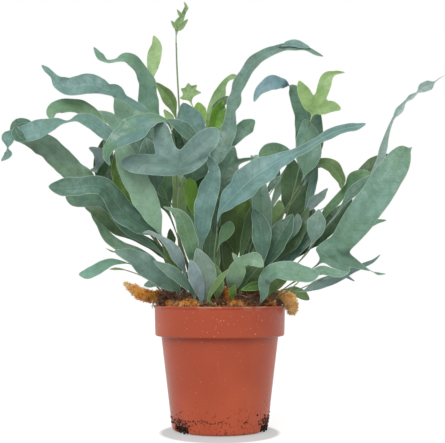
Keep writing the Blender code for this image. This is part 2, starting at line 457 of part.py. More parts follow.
def make_right_fronds():
    """Fronds that rise and spread to the right."""
    make_frond("frond_oval_dark_outer", "dark", (-0.5, -1.0, 0.15), (2.8, -2.3), [
        (3.6, -2.4, 13.9), (4.1, -2.5, 15.0, 0.3), (4.7, -2.6, 16.0, 0.9), (5.2, -2.7, 17.0, 1.4),
        (5.7, -2.7, 18.1, 1.5), (6.2, -2.7, 18.8, 0.9), (6.5, -2.6, 19.4)])
    make_frond("frond_broad_pale_right", "pale", (-0.35, -1.0, 0.25), (3.7, -2.8), [
        (6.4, -2.5, 12.9), (8.3, -2.9, 14.7), (9.2, -3.4, 15.5, 0.3), (10.0, -3.8, 16.4, 1.9),
        (10.8, -4.3, 17.5, 2.6), (11.8, -4.8, 18.8, 3.0), (12.8, -5.3, 20.2, 3.2),
        (13.8, -5.6, 21.6, 3.0), (14.7, -5.8, 23.0, 2.5), (15.5, -5.8, 24.1, 1.6),
        (16.0, -5.7, 24.8, 0.6), (16.5, -5.6, 25.2)], lobes=[
        [(9.6, -3.6, 16.0, 0.6), (10.0, -3.6, 15.4, 1.0), (10.6, -3.7, 14.7, 0.9), (11.2, -3.8, 14.0)],
        [(10.0, -3.8, 16.4, 0.8), (10.9, -3.7, 15.5, 1.1), (11.9, -3.7, 15.0, 0.8),
         (13.3, -3.7, 14.5, 0.3), (14.6, -3.7, 14.1)]])
    make_frond("frond_grey_long_right", "grey", LEANING, (3.7, 0.1), [
        (5.9, -0.6, 14.1), (7.7, -1.2, 15.8), (8.7, -1.4, 16.6, 0.3), (9.6, -1.6, 17.6, 0.7),
        (10.6, -1.9, 19.0, 0.9), (11.4, -2.1, 20.4, 1.1), (12.3, -2.2, 21.7, 1.1),
        (13.0, -2.2, 22.6, 0.7), (13.8, -2.2, 23.3)])
    make_frond("frond_dark_long_right", "deep", LEANING, (3.4, 0.7), [
        (5.4, 0.6, 15.3), (7.4, 0.4, 16.2), (8.4, 0.2, 16.8, 0.5), (9.4, 0.1, 17.8, 1.4),
        (10.4, 0.0, 19.2, 1.5), (11.4, 0.0, 20.6, 1.1), (12.2, 0.1, 21.9)])
    make_frond("frond_green_curl_right", "green", LEANING, (3.9, 1.4), [
        (5.5, 1.6, 16.5), (8.3, 1.8, 18.5), (9.3, 1.9, 19.2, 0.4), (10.2, 1.9, 20.4, 0.9),
        (11.2, 1.9, 21.6, 1.0), (12.1, 1.8, 22.5, 1.3), (12.7, 1.6, 23.3, 1.4),
        (13.4, 1.3, 23.8, 0.9), (14.1, 1.0, 23.6)])
    make_frond("frond_dark_back_right", "olive", LEANING, (3.6, 2.6), [
        (5.4, 3.0, 16.5), (9.4, 3.6, 20.2), (11.4, 3.8, 21.7, 0.4), (12.5, 3.9, 22.8, 1.0),
        (13.7, 4.0, 23.9, 1.2), (14.8, 4.0, 25.0, 1.2), (15.8, 4.0, 25.6, 0.8), (16.8, 4.0, 26.0)])
    make_frond("frond_far_right_twisted", "blue", FRONT, (4.5, 2.0), [
        (5.9, 2.2, 16.0), (10.0, 2.6, 19.2), (12.4, 2.8, 21.3, 0.4), (14.0, 2.8, 23.1, 1.0),
        (15.0, 2.8, 24.6, 1.1), (15.5, 2.7, 26.0, 0.8), (15.8, 2.6, 27.2, 0.6, 40),
        (16.1, 2.5, 28.2, 0.5), (16.5, 2.4, 29.0, 0.3, 40), (16.9, 2.3, 29.8, 0.7),
        (17.4, 2.2, 30.5, 0.5, 40), (18.0, 2.1, 31.0, 0.6), (18.5, 2.0, 31.2, 0.4, 40),
        (19.0, 1.9, 31.6, 1.0), (19.6, 1.8, 31.8, 1.2), (20.2, 1.7, 32.2, 0.4), (21.2, 1.6, 33.1)])
    make_frond("frond_drooping_arch_right", "green", (-0.3, -0.8, 0.5), (3.0, 1.7), [
        (4.5, 1.9, 17.4), (7.6, 1.9, 22.1), (8.7, 1.8, 24.3, 0.3), (9.6, 1.7, 24.8, 0.8),
        (10.5, 1.5, 24.4, 1.1), (11.2, 1.3, 23.5, 1.0), (11.6, 1.1, 22.6, 0.7), (11.5, 0.9, 21.9)])
    make_frond("frond_tall_right_drooping_tip", "dark", FRONT, (2.3, 0.7), [
        (4.1, 0.7, 17.4), (6.9, 0.5, 21.1), (8.1, 0.3, 23.4, 0.4), (8.3, 0.2, 24.7, 1.8),
        (8.3, 0.1, 26.0, 2.6), (8.2, 0.0, 27.4, 2.7), (8.0, 0.0, 28.8, 2.4), (7.5, 0.0, 30.1, 1.6),
        (7.1, 0.0, 31.1, 1.0), (6.5, -0.1, 31.6, 0.8), (5.9, -0.3, 31.6, 0.8),
        (5.1, -0.5, 31.7, 1.2), (4.4, -0.7, 31.5, 1.2), (3.7, -0.9, 30.8, 0.7), (3.1, -1.0, 29.9)])
    make_frond("frond_young_trilobe_right", "young", FRONT, (2.6, -0.9), [
        (4.7, -1.3, 15.9), (6.3, -1.8, 20.4), (7.4, -2.4, 24.8), (8.3, -2.8, 28.4, 0.2),
        (8.7, -3.0, 29.3, 1.0), (9.1, -3.0, 30.2, 1.0), (9.3, -3.0, 31.0, 1.2),
        (9.8, -3.0, 31.8, 0.8), (10.4, -3.0, 32.0, 0.4), (11.2, -3.0, 32.1)], lobes=[
        [(8.4, -2.9, 28.8, 0.4), (8.0, -3.0, 29.3, 1.2), (7.6, -3.0, 30.1, 1.2), (7.2, -2.9, 31.3)],
        [(8.5, -2.9, 28.8, 0.4), (9.2, -3.0, 28.9, 1.1), (10.0, -3.0, 29.1, 1.0), (10.8, -2.9, 28.9)]])
    make_frond("frond_front_right_bent", "mint", (0.0, -0.9, 0.45), (3.2, -4.1), [
        (3.8, -5.2, 12.5, 0.7), (3.8, -5.6, 13.1, 0.9), (3.9, -6.1, 13.7, 1.2),
        (4.7, -6.6, 14.3, 1.6), (5.8, -7.0, 14.3, 1.8), (6.8, -7.2, 14.1, 1.7),
        (7.7, -7.2, 14.0, 1.2), (8.4, -7.1, 14.2)])
    make_frond("frond_slim_low_right", "dark", SKY, (4.7, 0.4), [
        (6.3, 0.3, 12.5), (7.7, 0.2, 12.6, 0.2), (8.8, 0.2, 13.0, 0.9), (9.9, 0.2, 13.4, 0.9),
        (11.1, 0.3, 13.8, 0.7), (12.2, 0.4, 14.5, 0.6), (13.3, 0.5, 15.0, 0.5),
        (14.2, 0.6, 15.4, 0.3), (14.9, 0.7, 16.0)])


def make_back_fronds():
    """Fronds that arch away behind, so that the plant is full all round."""
    make_frond("frond_back_arch_left", "grey", BACK, (-2.5, 3.6), [
        (-4.5, 5.5, 19.0), (-6.5, 8.0, 24.0, 0.4), (-8.0, 10.0, 26.5, 1.8), (-9.5, 12.0, 27.4, 2.2),
        (-10.8, 13.8, 27.0, 1.6), (-11.6, 15.0, 25.6)])
    make_frond("frond_back_arch_centre_left", "blue", BACK, (-1.4, 4.2), [
        (-2.2, 6.0, 20.0), (-3.0, 8.5, 25.5, 0.4), (-3.5, 11.0, 28.0, 2.0), (-4.0, 13.5, 28.5, 2.3),
        (-4.4, 16.0, 27.0, 1.7), (-4.6, 17.6, 25.0)])
    make_frond("frond_back_arch_centre", "dark", BACK, (0.2, 4.6), [
        (0.3, 6.5, 19.0), (0.4, 9.0, 23.5, 0.4), (0.5, 11.5, 25.5, 1.9), (0.6, 14.0, 25.5, 2.1),
        (0.7, 16.0, 24.0, 1.5), (0.8, 17.3, 22.0)])
    make_frond("frond_back_arch_right", "blue", BACK, (1.8, 4.3), [
        (2.6, 6.3, 19.5), (3.4, 8.8, 24.0, 0.4), (4.2, 11.0, 26.3, 2.0), (5.0, 13.2, 26.8, 2.2),
        (5.8, 15.2, 25.6, 1.6), (6.4, 16.6, 23.6)])
    make_frond("frond_back_low_left", "dark", BACK, (-3.4, 3.0), [
        (-5.0, 5.0, 16.5), (-6.4, 7.0, 19.0, 0.4), (-7.6, 9.0, 20.5, 1.6), (-8.6, 11.0, 20.6, 1.7),
        (-9.3, 12.8, 19.4)])
    make_frond("frond_back_low_right", "grey", BACK, (3.2, 3.4), [
        (5.0, 5.5, 16.5), (6.6, 7.5, 19.5, 0.4), (8.0, 9.5, 21.0, 1.6), (9.2, 11.3, 21.0, 1.7),
        (10.0, 12.8, 19.6)])
    make_frond("frond_back_low_centre", "green", BACK, (-0.8, 4.9), [
        (-1.0, 7.0, 15.0), (-1.2, 9.0, 17.3, 0.4), (-1.4, 11.5, 18.4, 1.7), (-1.6, 14.0, 17.8, 1.8),
        (-1.8, 16.0, 16.0)])
    make_frond("frond_back_tall", "blue", BACK, (-0.2, 3.0), [
        (-0.4, 4.5, 19.5), (-0.6, 6.5, 25.2, 0.4), (-0.8, 8.5, 28.2, 1.7), (-1.0, 10.8, 29.3, 2.0),
        (-1.2, 13.0, 28.6, 1.5), (-1.3, 14.6, 27.0)])


# ---- rhizomes ------------------------------------------------------------------------------

def lying(x, y, radius):
    """Route point of a rhizome that lies on the growing medium there."""
    distance = Vector((x, y)).length
    return (x, y, soil_height(max(0.0, distance - radius / 2)) + radius + GAP, radius)


def make_rhizome(name, route, sides=8):
    """Creeping stem: a tube through (x, y, z, radius) points with blunt ends."""
    samples = smooth_stations([(x, y, z, radius, 0.0) for x, y, z, radius in route])
    places = [Vector(s[:3]) for s in samples]
    sideways = (places[-1] - places[0]).cross(Vector((0, 0, 1))).normalized()
    bm = bmesh.new()
    rings = []
    for index, sample in enumerate(samples):
        ahead = places[min(index + 1, len(places) - 1)]
        behind = places[max(index - 1, 0)]
        along = (ahead - behind).normalized()
        side = (sideways - sideways.dot(along) * along).normalized()
        up = side.cross(along)
        ring = []
        for step in range(sides):
            angle = 2 * pi * (step + 0.5) / sides
            ring.append(bm.verts.new(places[index] + sample[3] * (cos(angle) * side + sin(angle) * up)))
        rings.append(ring)
    bm.faces.new(rings[0])
    bm.faces.new(rings[-1])
    for ring, following in zip(rings, rings[1:]):
        for step in range(sides):
            other = (step + 1) % sides
            bm.faces.new((ring[step], ring[other], following[other]))
            bm.faces.new((ring[step], following[other], following[step]))
    bmesh.ops.recalc_face_normals(bm, faces=bm.faces)
    return add_object(name, bm, "rhizome", roughness=0.9)


def make_rhizomes():
    """Four scaly creeping stems: one reaches out over each side of the rim."""
    make_rhizome("rhizome_left", [
        lying(-4.3, -1.0, 0.3), lying(-4.8, -1.0, 0.5), (-6.0, -1.0, 12.05, 0.55),
        (-7.2, -1.0, 12.4, 0.5), (-8.1, -1.0, 13.0, 0.35), (-8.5, -1.0, 13.5, 0.1)])
    make_rhizome("rhizome_front", [
        lying(-4.0, -3.9, 0.2), lying(-3.3, -4.4, 0.35), lying(-2.4, -4.9, 0.35), lying(-1.7, -5.2, 0.2)])
    make_rhizome("rhizome_centre", [
        lying(0.6, -5.2, 0.2), lying(1.3, -5.2, 0.3), lying(2.2, -5.0, 0.2)])
    make_rhizome("rhizome_right", [
        lying(4.2, -1.2, 0.3), lying(4.8, -1.3, 0.5), (5.6, -1.4, 12.1, 0.6),
        (6.3, -1.5, 11.8, 0.58), (6.5, -1.5, 11.2, 0.48), (6.5, -1.5, 10.5, 0.2)])


def main():
    clear_scene()
    make_pot()
    make_soil()
    make_rhizomes()
    make_left_fronds()
    make_centre_fronds()
    make_right_fronds()
    make_back_fronds()


main()
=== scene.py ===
"""Dresses a potted blue star fern: its leaves, creeping stems, growing medium, pot and studio.

Tables and sizes are centimetres in the model's own frame: the pot stands on z = 0 with its axis on
Z, and the plant's front faces -Y. CM turns them into metres as a mesh is laid out. Scales of noise
are features per metre, and heights and reliefs in a finish are metres, because shaders see metres.
A leaf's stations are (x, y, z), then its width there and its roll in degrees where they aren't 0.
"""

import logging
from bisect import bisect_right
from collections.abc import Callable, Iterable, Sequence
from dataclasses import dataclass
from enum import Enum
from functools import cache
from itertools import accumulate
from math import ceil, cos, hypot, pi, radians, sin, tan
from random import Random

import bpy
import numpy as np
from mathutils import Matrix, Vector, noise


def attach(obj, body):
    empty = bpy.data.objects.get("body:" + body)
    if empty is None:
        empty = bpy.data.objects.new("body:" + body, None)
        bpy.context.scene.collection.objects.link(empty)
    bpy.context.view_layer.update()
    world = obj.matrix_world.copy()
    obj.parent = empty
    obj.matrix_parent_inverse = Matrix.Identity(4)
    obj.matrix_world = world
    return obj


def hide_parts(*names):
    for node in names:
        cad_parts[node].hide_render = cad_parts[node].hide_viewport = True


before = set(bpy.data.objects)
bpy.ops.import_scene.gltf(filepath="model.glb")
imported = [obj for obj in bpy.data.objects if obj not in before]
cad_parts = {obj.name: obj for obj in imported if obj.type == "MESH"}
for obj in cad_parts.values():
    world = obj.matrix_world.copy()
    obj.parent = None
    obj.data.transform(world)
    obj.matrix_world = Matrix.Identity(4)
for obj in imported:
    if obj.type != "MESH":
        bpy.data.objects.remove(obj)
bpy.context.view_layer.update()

CM = 0.01
TURN = 2 * pi
MARK = "mark"              # the attribute that tells a finish about its surface
BODY = "root"

Point = tuple[float, ...]
Colour = tuple[float, float, float]
Rule = Callable[[float, float], tuple[Vector, Point]]

log = logging.getLogger("fern")


# ---- making meshes -------------------------------------------------------------------------

def added(operator: Callable[..., object], **settings: object) -> bpy.types.Object:
    """The object that one of Blender's operators adds."""
    bpy.ops.object.select_all(action="DESELECT")
    operator(**settings)
    return bpy.context.object


def lump() -> bpy.types.Object:
    """A round crumb 1 cm across, to copy."""
    return added(bpy.ops.mesh.primitive_ico_sphere_add, subdivisions=1, radius=0.5)


def spike(name: str) -> bpy.types.Object:
    """A closed three-sided spike, 1 cm tall on Z, to copy as a scale."""
    made = added(
        bpy.ops.mesh.primitive_cone_add, vertices=3, radius1=0.5, radius2=0.0, depth=1.0)
    made.name = name
    return made


def ray(angle: float) -> Vector:
    """The level direction at an angle in radians from +X."""
    return Vector((cos(angle), sin(angle), 0.0))


class Shape:
    """A mesh in the making: a flat grid that is laid out by a rule, then welded and finished."""

    def __init__(self, name: str, rows: int, columns: int) -> None:
        """Adds a grid of rows x columns cells.

        Args:
            name: the piece's name.
            rows: cells along the shape's length.
            columns: cells across it or round it.
        """
        self.piece = added(bpy.ops.mesh.primitive_grid_add, x_subdivisions=columns,
                           y_subdivisions=rows, size=1.0)
        self.piece.name = self.piece.data.name = name

    @property
    def mesh(self) -> bpy.types.Mesh:
        """The shape's mesh."""
        return self.piece.data

    def pick(self) -> None:
        """Makes this the only selected piece and the active one."""
        bpy.ops.object.select_all(action="DESELECT")
        self.piece.select_set(True)
        bpy.context.view_layer.objects.active = self.piece

    def lay(self, rule: Rule) -> "Shape":
        """Moves each grid point to its place.

        Args:
            rule: gives the place in centimetres and the mark for a point's (u, v), each 0 to 1.

        Returns:
            The shape itself, as every step does, so that steps can follow one another.
        """
        marks = self.mesh.color_attributes.new(MARK, "FLOAT_COLOR", "POINT").data
        for vertex in self.mesh.vertices:
            place, mark = rule(vertex.co.x + 0.5, vertex.co.y + 0.5)
            vertex.co = place * CM
            marks[vertex.index].color = mark
        return self

    def edit(self, *steps: Callable[[], object]) -> "Shape":
        """Runs edit-mode steps on the whole mesh."""
        self.pick()
        bpy.ops.object.mode_set(mode="EDIT")
        bpy.ops.mesh.select_all(action="SELECT")
        for step in steps:
            step()
        bpy.ops.object.mode_set(mode="OBJECT")
        return self

    def weld(self) -> "Shape":
        """Merges the points that a seam, pole or tip has brought together."""
        return self.edit(lambda: bpy.ops.mesh.remove_doubles(threshold=1e-6))

    def apply(self, kind: str, **settings: object) -> "Shape":
        """Adds a modifier with its settings and applies it."""
        self.pick()
        step = self.piece.modifiers.new(kind.title(), kind)
        for key, value in settings.items():
            setattr(step, key, value)
        bpy.ops.object.modifier_apply(modifier=step.name)
        return self

    def join(self, others: Iterable["Shape"]) -> "Shape":
        """Takes other shapes into this one."""
        self.pick()
        for other in others:
            other.piece.select_set(True)
        bpy.ops.object.join()
        return self

    def dress(self, *materials: bpy.types.Material) -> "Shape":
        """Puts materials in the slots, in order."""
        for material in materials:
            self.mesh.materials.append(material)
        return self

    def hand_in(self, slot: str, *nodes: str, crease: float = 50.0) -> None:
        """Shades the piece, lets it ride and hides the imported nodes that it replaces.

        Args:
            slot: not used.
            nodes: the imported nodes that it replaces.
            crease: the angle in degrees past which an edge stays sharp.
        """
        self.pick()
        bpy.ops.object.shade_smooth_by_angle(angle=radians(crease))
        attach(self.piece, BODY)
        if nodes:
            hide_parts(*nodes)
        log.info("%s: %d faces", self.piece.name, len(self.mesh.polygons))


class Swarm:
    """Many copies of one small closed shape, joined as one piece."""

    def __init__(self, name: str, template: bpy.types.Object) -> None:
        """Takes the template's mesh and removes the template.

        Args:
            name: the joined piece's name.
            template: one copy, about 1 cm in size and centred on the origin.
        """
        self.name = name
        self.points = np.array([v.co for v in template.data.vertices])
        self.faces = [tuple(p.vertices) for p in template.data.polygons]
        self.placed: list[np.ndarray] = []
        self.tones: list[float] = []
        bpy.data.objects.remove(template, do_unlink=True)

    def add(self, placing: Matrix, tone: float) -> None:
        """Adds a copy in centimetres, its tone from 0 to 1."""
        spot = np.array(placing)
        self.placed.append((self.points @ spot[:3, :3].T + spot[:3, 3]) * CM)
        self.tones.append(tone)

    def build(self) -> Shape:
        """Joins the copies.

        Returns:
            A shape whose mark holds each copy's tone.
        """
        step = len(self.points)
        faces = [
            tuple(index + copy * step for index in face)
            for copy in range(len(self.placed)) for face in self.faces
        ]
        shape = Shape(self.name, 1, 1)
        mesh = bpy.data.meshes.new(self.name)
        mesh.from_pydata(np.vstack(self.placed).tolist(), [], faces)
        shape.piece.data = mesh
        marks = mesh.color_attributes.new(MARK, "FLOAT_COLOR", "POINT").data
        marks.foreach_set("color", np.repeat(np.array(self.tones), 4 * step))
        return shape


def scattered(place: Vector, facing: Vector, size: Vector, spin: float) -> Matrix:
    """A placing whose Z points along facing.

    Args:
        place: centimetres.
        facing: the direction of the copy's Z.
        size: the copy's scale on each of its axes.
        spin: radians about its Z.

    Returns:
        The matrix for Swarm.add.
    """
    upright = Matrix.Translation(place) @ facing.to_track_quat("Z", "Y").to_matrix().to_4x4()
    return upright @ Matrix.Rotation(spin, 4, "Z") @ Matrix.Diagonal((*size, 1))


def draw(chance: Random, *ranges: Point) -> Vector:
    """A vector with one random number from each range."""
    return Vector([chance.uniform(*limits) for limits in ranges])


# ---- finishes ------------------------------------------------------------------------------

class Recipe:
    """A Principled material in the making, with short names for the nodes that finishes use."""

    def __init__(self, name: str, roughness: float, specular: float = 0.5) -> None:
        """Starts the material.

        Args:
            name: the material's name.
            roughness: its roughness where nothing drives it.
            specular: its specular level, the same all over.
        """
        self.material = bpy.data.materials.new(name)
        self.material.use_nodes = True
        self.tree = self.material.node_tree
        self.shader = self.tree.nodes["Principled BSDF"]
        self.shader.inputs["Roughness"].default_value = roughness
        self.shader.inputs["Specular IOR Level"].default_value = specular
        self.place = self.node("ShaderNodeTexCoord").outputs["Object"]

    def node(self, kind: str, **settings: object) -> bpy.types.Node:
        """Adds a node and sets its properties."""
        made = self.tree.nodes.new(kind)
        for key, value in settings.items():
            setattr(made, key, value)
        return made

    def feed(self, socket: bpy.types.NodeSocket, value: object) -> None:
        """Links a socket to another, or sets it to a number or colour."""
        if isinstance(value, bpy.types.NodeSocket):
            self.tree.links.new(value, socket)
        elif isinstance(value, tuple):
            socket.default_value = (*value, 1.0)
        else:
            socket.default_value = value

    def marks(self) -> tuple[bpy.types.NodeSocket, ...]:
        """The four numbers of the surface's mark."""
        mark = self.node("ShaderNodeAttribute", attribute_name=MARK)
        parts = self.node("ShaderNodeSeparateColor")
        self.feed(parts.inputs[0], mark.outputs["Color"])
        return (*parts.outputs, mark.outputs["Alpha"])

    def height(self) -> bpy.types.NodeSocket:
        """The surface's height in metres."""
        parts = self.node("ShaderNodeSeparateXYZ")
        self.feed(parts.inputs[0], self.place)
        return parts.outputs[2]

    def speckle(self, scale: float, detail: float = 3.0, warp: float = 0.0) -> bpy.types.NodeSocket:
        """Noise from 0 to 1, its scale in features per metre."""
        made = self.node("ShaderNodeTexNoise")
        self.feed(made.inputs["Vector"], self.place)
        made.inputs["Scale"].default_value = scale
        made.inputs["Detail"].default_value = detail
        made.inputs["Distortion"].default_value = warp
        return made.outputs[0]

    def cells(self, scale: float, feature: str = "F1") -> bpy.types.NodeSocket:
        """Distance in a pattern of cells, its scale in cells per metre."""
        made = self.node("ShaderNodeTexVoronoi", feature=feature)
        self.feed(made.inputs["Vector"], self.place)
        made.inputs["Scale"].default_value = scale
        return made.outputs["Distance"]

    def ramp(self, value: object, low: float, high: float,
             start: float = 0.0, end: float = 1.0) -> bpy.types.NodeSocket:
        """A smooth step from start to end as value goes from low to high."""
        made = self.node("ShaderNodeMapRange", interpolation_type="SMOOTHSTEP")
        for socket, number in zip(made.inputs, (value, low, high, start, end)):
            self.feed(socket, number)
        return made.outputs[0]

    def maths(self, kind: str, first: object, second: object = 0.0) -> bpy.types.NodeSocket:
        """One step of arithmetic, such as SINE."""
        made = self.node("ShaderNodeMath", operation=kind)
        self.feed(made.inputs[0], first)
        self.feed(made.inputs[1], second)
        return made.outputs[0]

    def plus(self, first: object, second: object) -> bpy.types.NodeSocket:
        """The sum of two values."""
        return self.maths("ADD", first, second)

    def times(self, first: object, second: object) -> bpy.types.NodeSocket:
        """The product of two values."""
        return self.maths("MULTIPLY", first, second)

    def mix(self, factor: object, first: object, second: object) -> bpy.types.NodeSocket:
        """Blends two colours."""
        made = self.node("ShaderNodeMix", data_type="RGBA")
        for index, value in ((0, factor), (6, first), (7, second)):
            self.feed(made.inputs[index], value)
        return made.outputs[2]

    def finish(self, colour: bpy.types.NodeSocket, rough: object = None,
               relief: object = None, depth: float = 0.0) -> bpy.types.Material:
        """Links the shader up.

        Args:
            colour: its base colour.
            rough: its roughness, if nodes drive it.
            relief: heights from 0 to 1 for the bump.
            depth: metres that a height of 1 stands for.

        Returns:
            The finished material.
        """
        self.feed(self.shader.inputs["Base Color"], colour)
        if rough is not None:
            self.feed(self.shader.inputs["Roughness"], rough)
        if relief is not None:
            bump = self.node("ShaderNodeBump")
            bump.inputs["Distance"].default_value = depth
            self.feed(bump.inputs["Height"], relief)
            self.feed(self.shader.inputs["Normal"], bump.outputs[0])
        return self.material


def blend(first: Colour, second: Colour, share: float) -> Colour:
    """A colour that lies a share of the way from the first to the second."""
    return tuple(a + (b - a) * share for a, b in zip(first, second))


@dataclass(frozen=True)
class LeafFinish:
    """How a leaf looks: waxy upper side, greener underside with painted shade, pale rim and midrib.

    Its mark holds the distance from the midrib, the distance from the edge, the share of the way to
    the tip and the distance that side veins follow.
    """

    slot: str                 # the record's material slot
    base: Colour
    patch: Colour             # a second colour in soft patches
    rim: Colour = (0.42, 0.57, 0.44)
    wax: float = 0.3          # strength of the haze on its sides
    rib: float = 0.14         # strength of the midrib's paleness
    rough: float = 0.45
    spots: bool = False       # brown spore spots on both sides of the midrib
    tint: Colour = (0.13, 0.24, 0.12)         # the underside's colour, darker as painted shade
    share: float = 0.4        # how much of it the underside takes

    WAX = (0.34, 0.52, 0.52)
    SPORES = (0.30, 0.16, 0.09)
    DULL = 0.65               # the underside's roughness
    CLOUDS = 30               # soft patches
    BLOTCHES = 110
    GRAIN = 420
    NET = 260                 # cells between fine veins
    DOTS = 130                # cells that hold a spore spot each
    VEIN_STEP = 0.7           # centimetres between side veins
    RELIEF = 0.00035

    @cache
    def upper(self, name: str) -> bpy.types.Material:
        """The upper side's material."""
        return self.side(Recipe(f"{name}_upper", self.rough), self.base, self.patch, self.rough)

    @cache
    def under(self, name: str) -> bpy.types.Material:
        """The underside's material, greener and duller, and darker as painted shade."""
        recipe = Recipe(f"{name}_under", self.DULL, specular=0.3)
        # The tint greens the underside and darkens it: the darkening is painted shade.
        base, patch = (blend(colour, self.tint, self.share) for colour in (self.base, self.patch))
        return self.side(recipe, base, patch, self.DULL)

    def side(self, recipe: Recipe, base: Colour, patch: Colour, rough: float) -> bpy.types.Material:
        """One side of the leaf.

        Args:
            recipe: the material, just started.
            base: its main colour.
            patch: its second colour.
            rough: its middle roughness.

        Returns:
            The finished material.
        """
        rib, edge, along, chevron = recipe.marks()
        cloud = recipe.speckle(self.CLOUDS, 3, 0.8)
        blotch = recipe.speckle(self.BLOTCHES, 3)
        grain = recipe.speckle(self.GRAIN, 4)
        dark = blend(base, (0, 0, 0), 0.5)
        colour = recipe.mix(recipe.ramp(cloud, 0.36, 0.64), base, patch)
        # Towards the foot the patch colour takes over: greener, and darker as painted shade.
        colour = recipe.mix(recipe.ramp(along, 0.0, 0.55, 0.35, 0.0), colour, patch)
        colour = recipe.mix(recipe.ramp(blotch, 0.40, 0.75, 0.0, 0.35), colour, dark)
        colour = recipe.mix(recipe.ramp(grain, 0.3, 0.8, 0.0, 0.22), colour, dark)
        sides = recipe.times(recipe.ramp(rib, 0.08, 0.45), recipe.ramp(edge, 0.08, 0.40))
        haze = recipe.times(sides, recipe.ramp(blotch, 0.25, 0.60, self.wax, 0.0))
        colour = recipe.mix(haze, colour, blend(base, self.WAX, 0.8))
        cells = recipe.cells(self.NET, "DISTANCE_TO_EDGE")
        colour = recipe.mix(recipe.ramp(cells, 0.0, 0.10, 0.10, 0.0), colour,
                            blend(base, self.rim, 0.5))
        bent = recipe.plus(chevron, recipe.times(cloud, 0.9))
        wave = recipe.maths("SINE", recipe.times(bent, TURN / self.VEIN_STEP))
        vein = recipe.ramp(wave, 0.9, 1.0)
        faint = recipe.ramp(blotch, 0.35, 0.6, 0.0, 0.22)
        colour = recipe.mix(recipe.times(vein, faint), colour, dark)
        colour = recipe.mix(recipe.ramp(rib, 0.012, 0.05, self.rib, 0.0), colour, self.rim)
        colour = recipe.mix(recipe.ramp(edge, 0.015, 0.07, 0.55, 0.0), colour, self.rim)
        if self.spots:
            dots = recipe.ramp(recipe.cells(self.DOTS), 0.16, 0.26, 0.75, 0.0)
            band = recipe.times(recipe.ramp(rib, 0.08, 0.2), recipe.ramp(edge, 0.06, 0.2))
            colour = recipe.mix(recipe.times(dots, band), colour, self.SPORES)
        fine = recipe.plus(recipe.times(grain, 0.3), recipe.times(vein, -0.3))
        relief = recipe.plus(fine, recipe.times(blotch, 3.0))
        dull = recipe.ramp(cloud, 0.3, 0.7, rough - 0.07, rough + 0.09)
        return recipe.finish(colour, dull, relief, self.RELIEF)


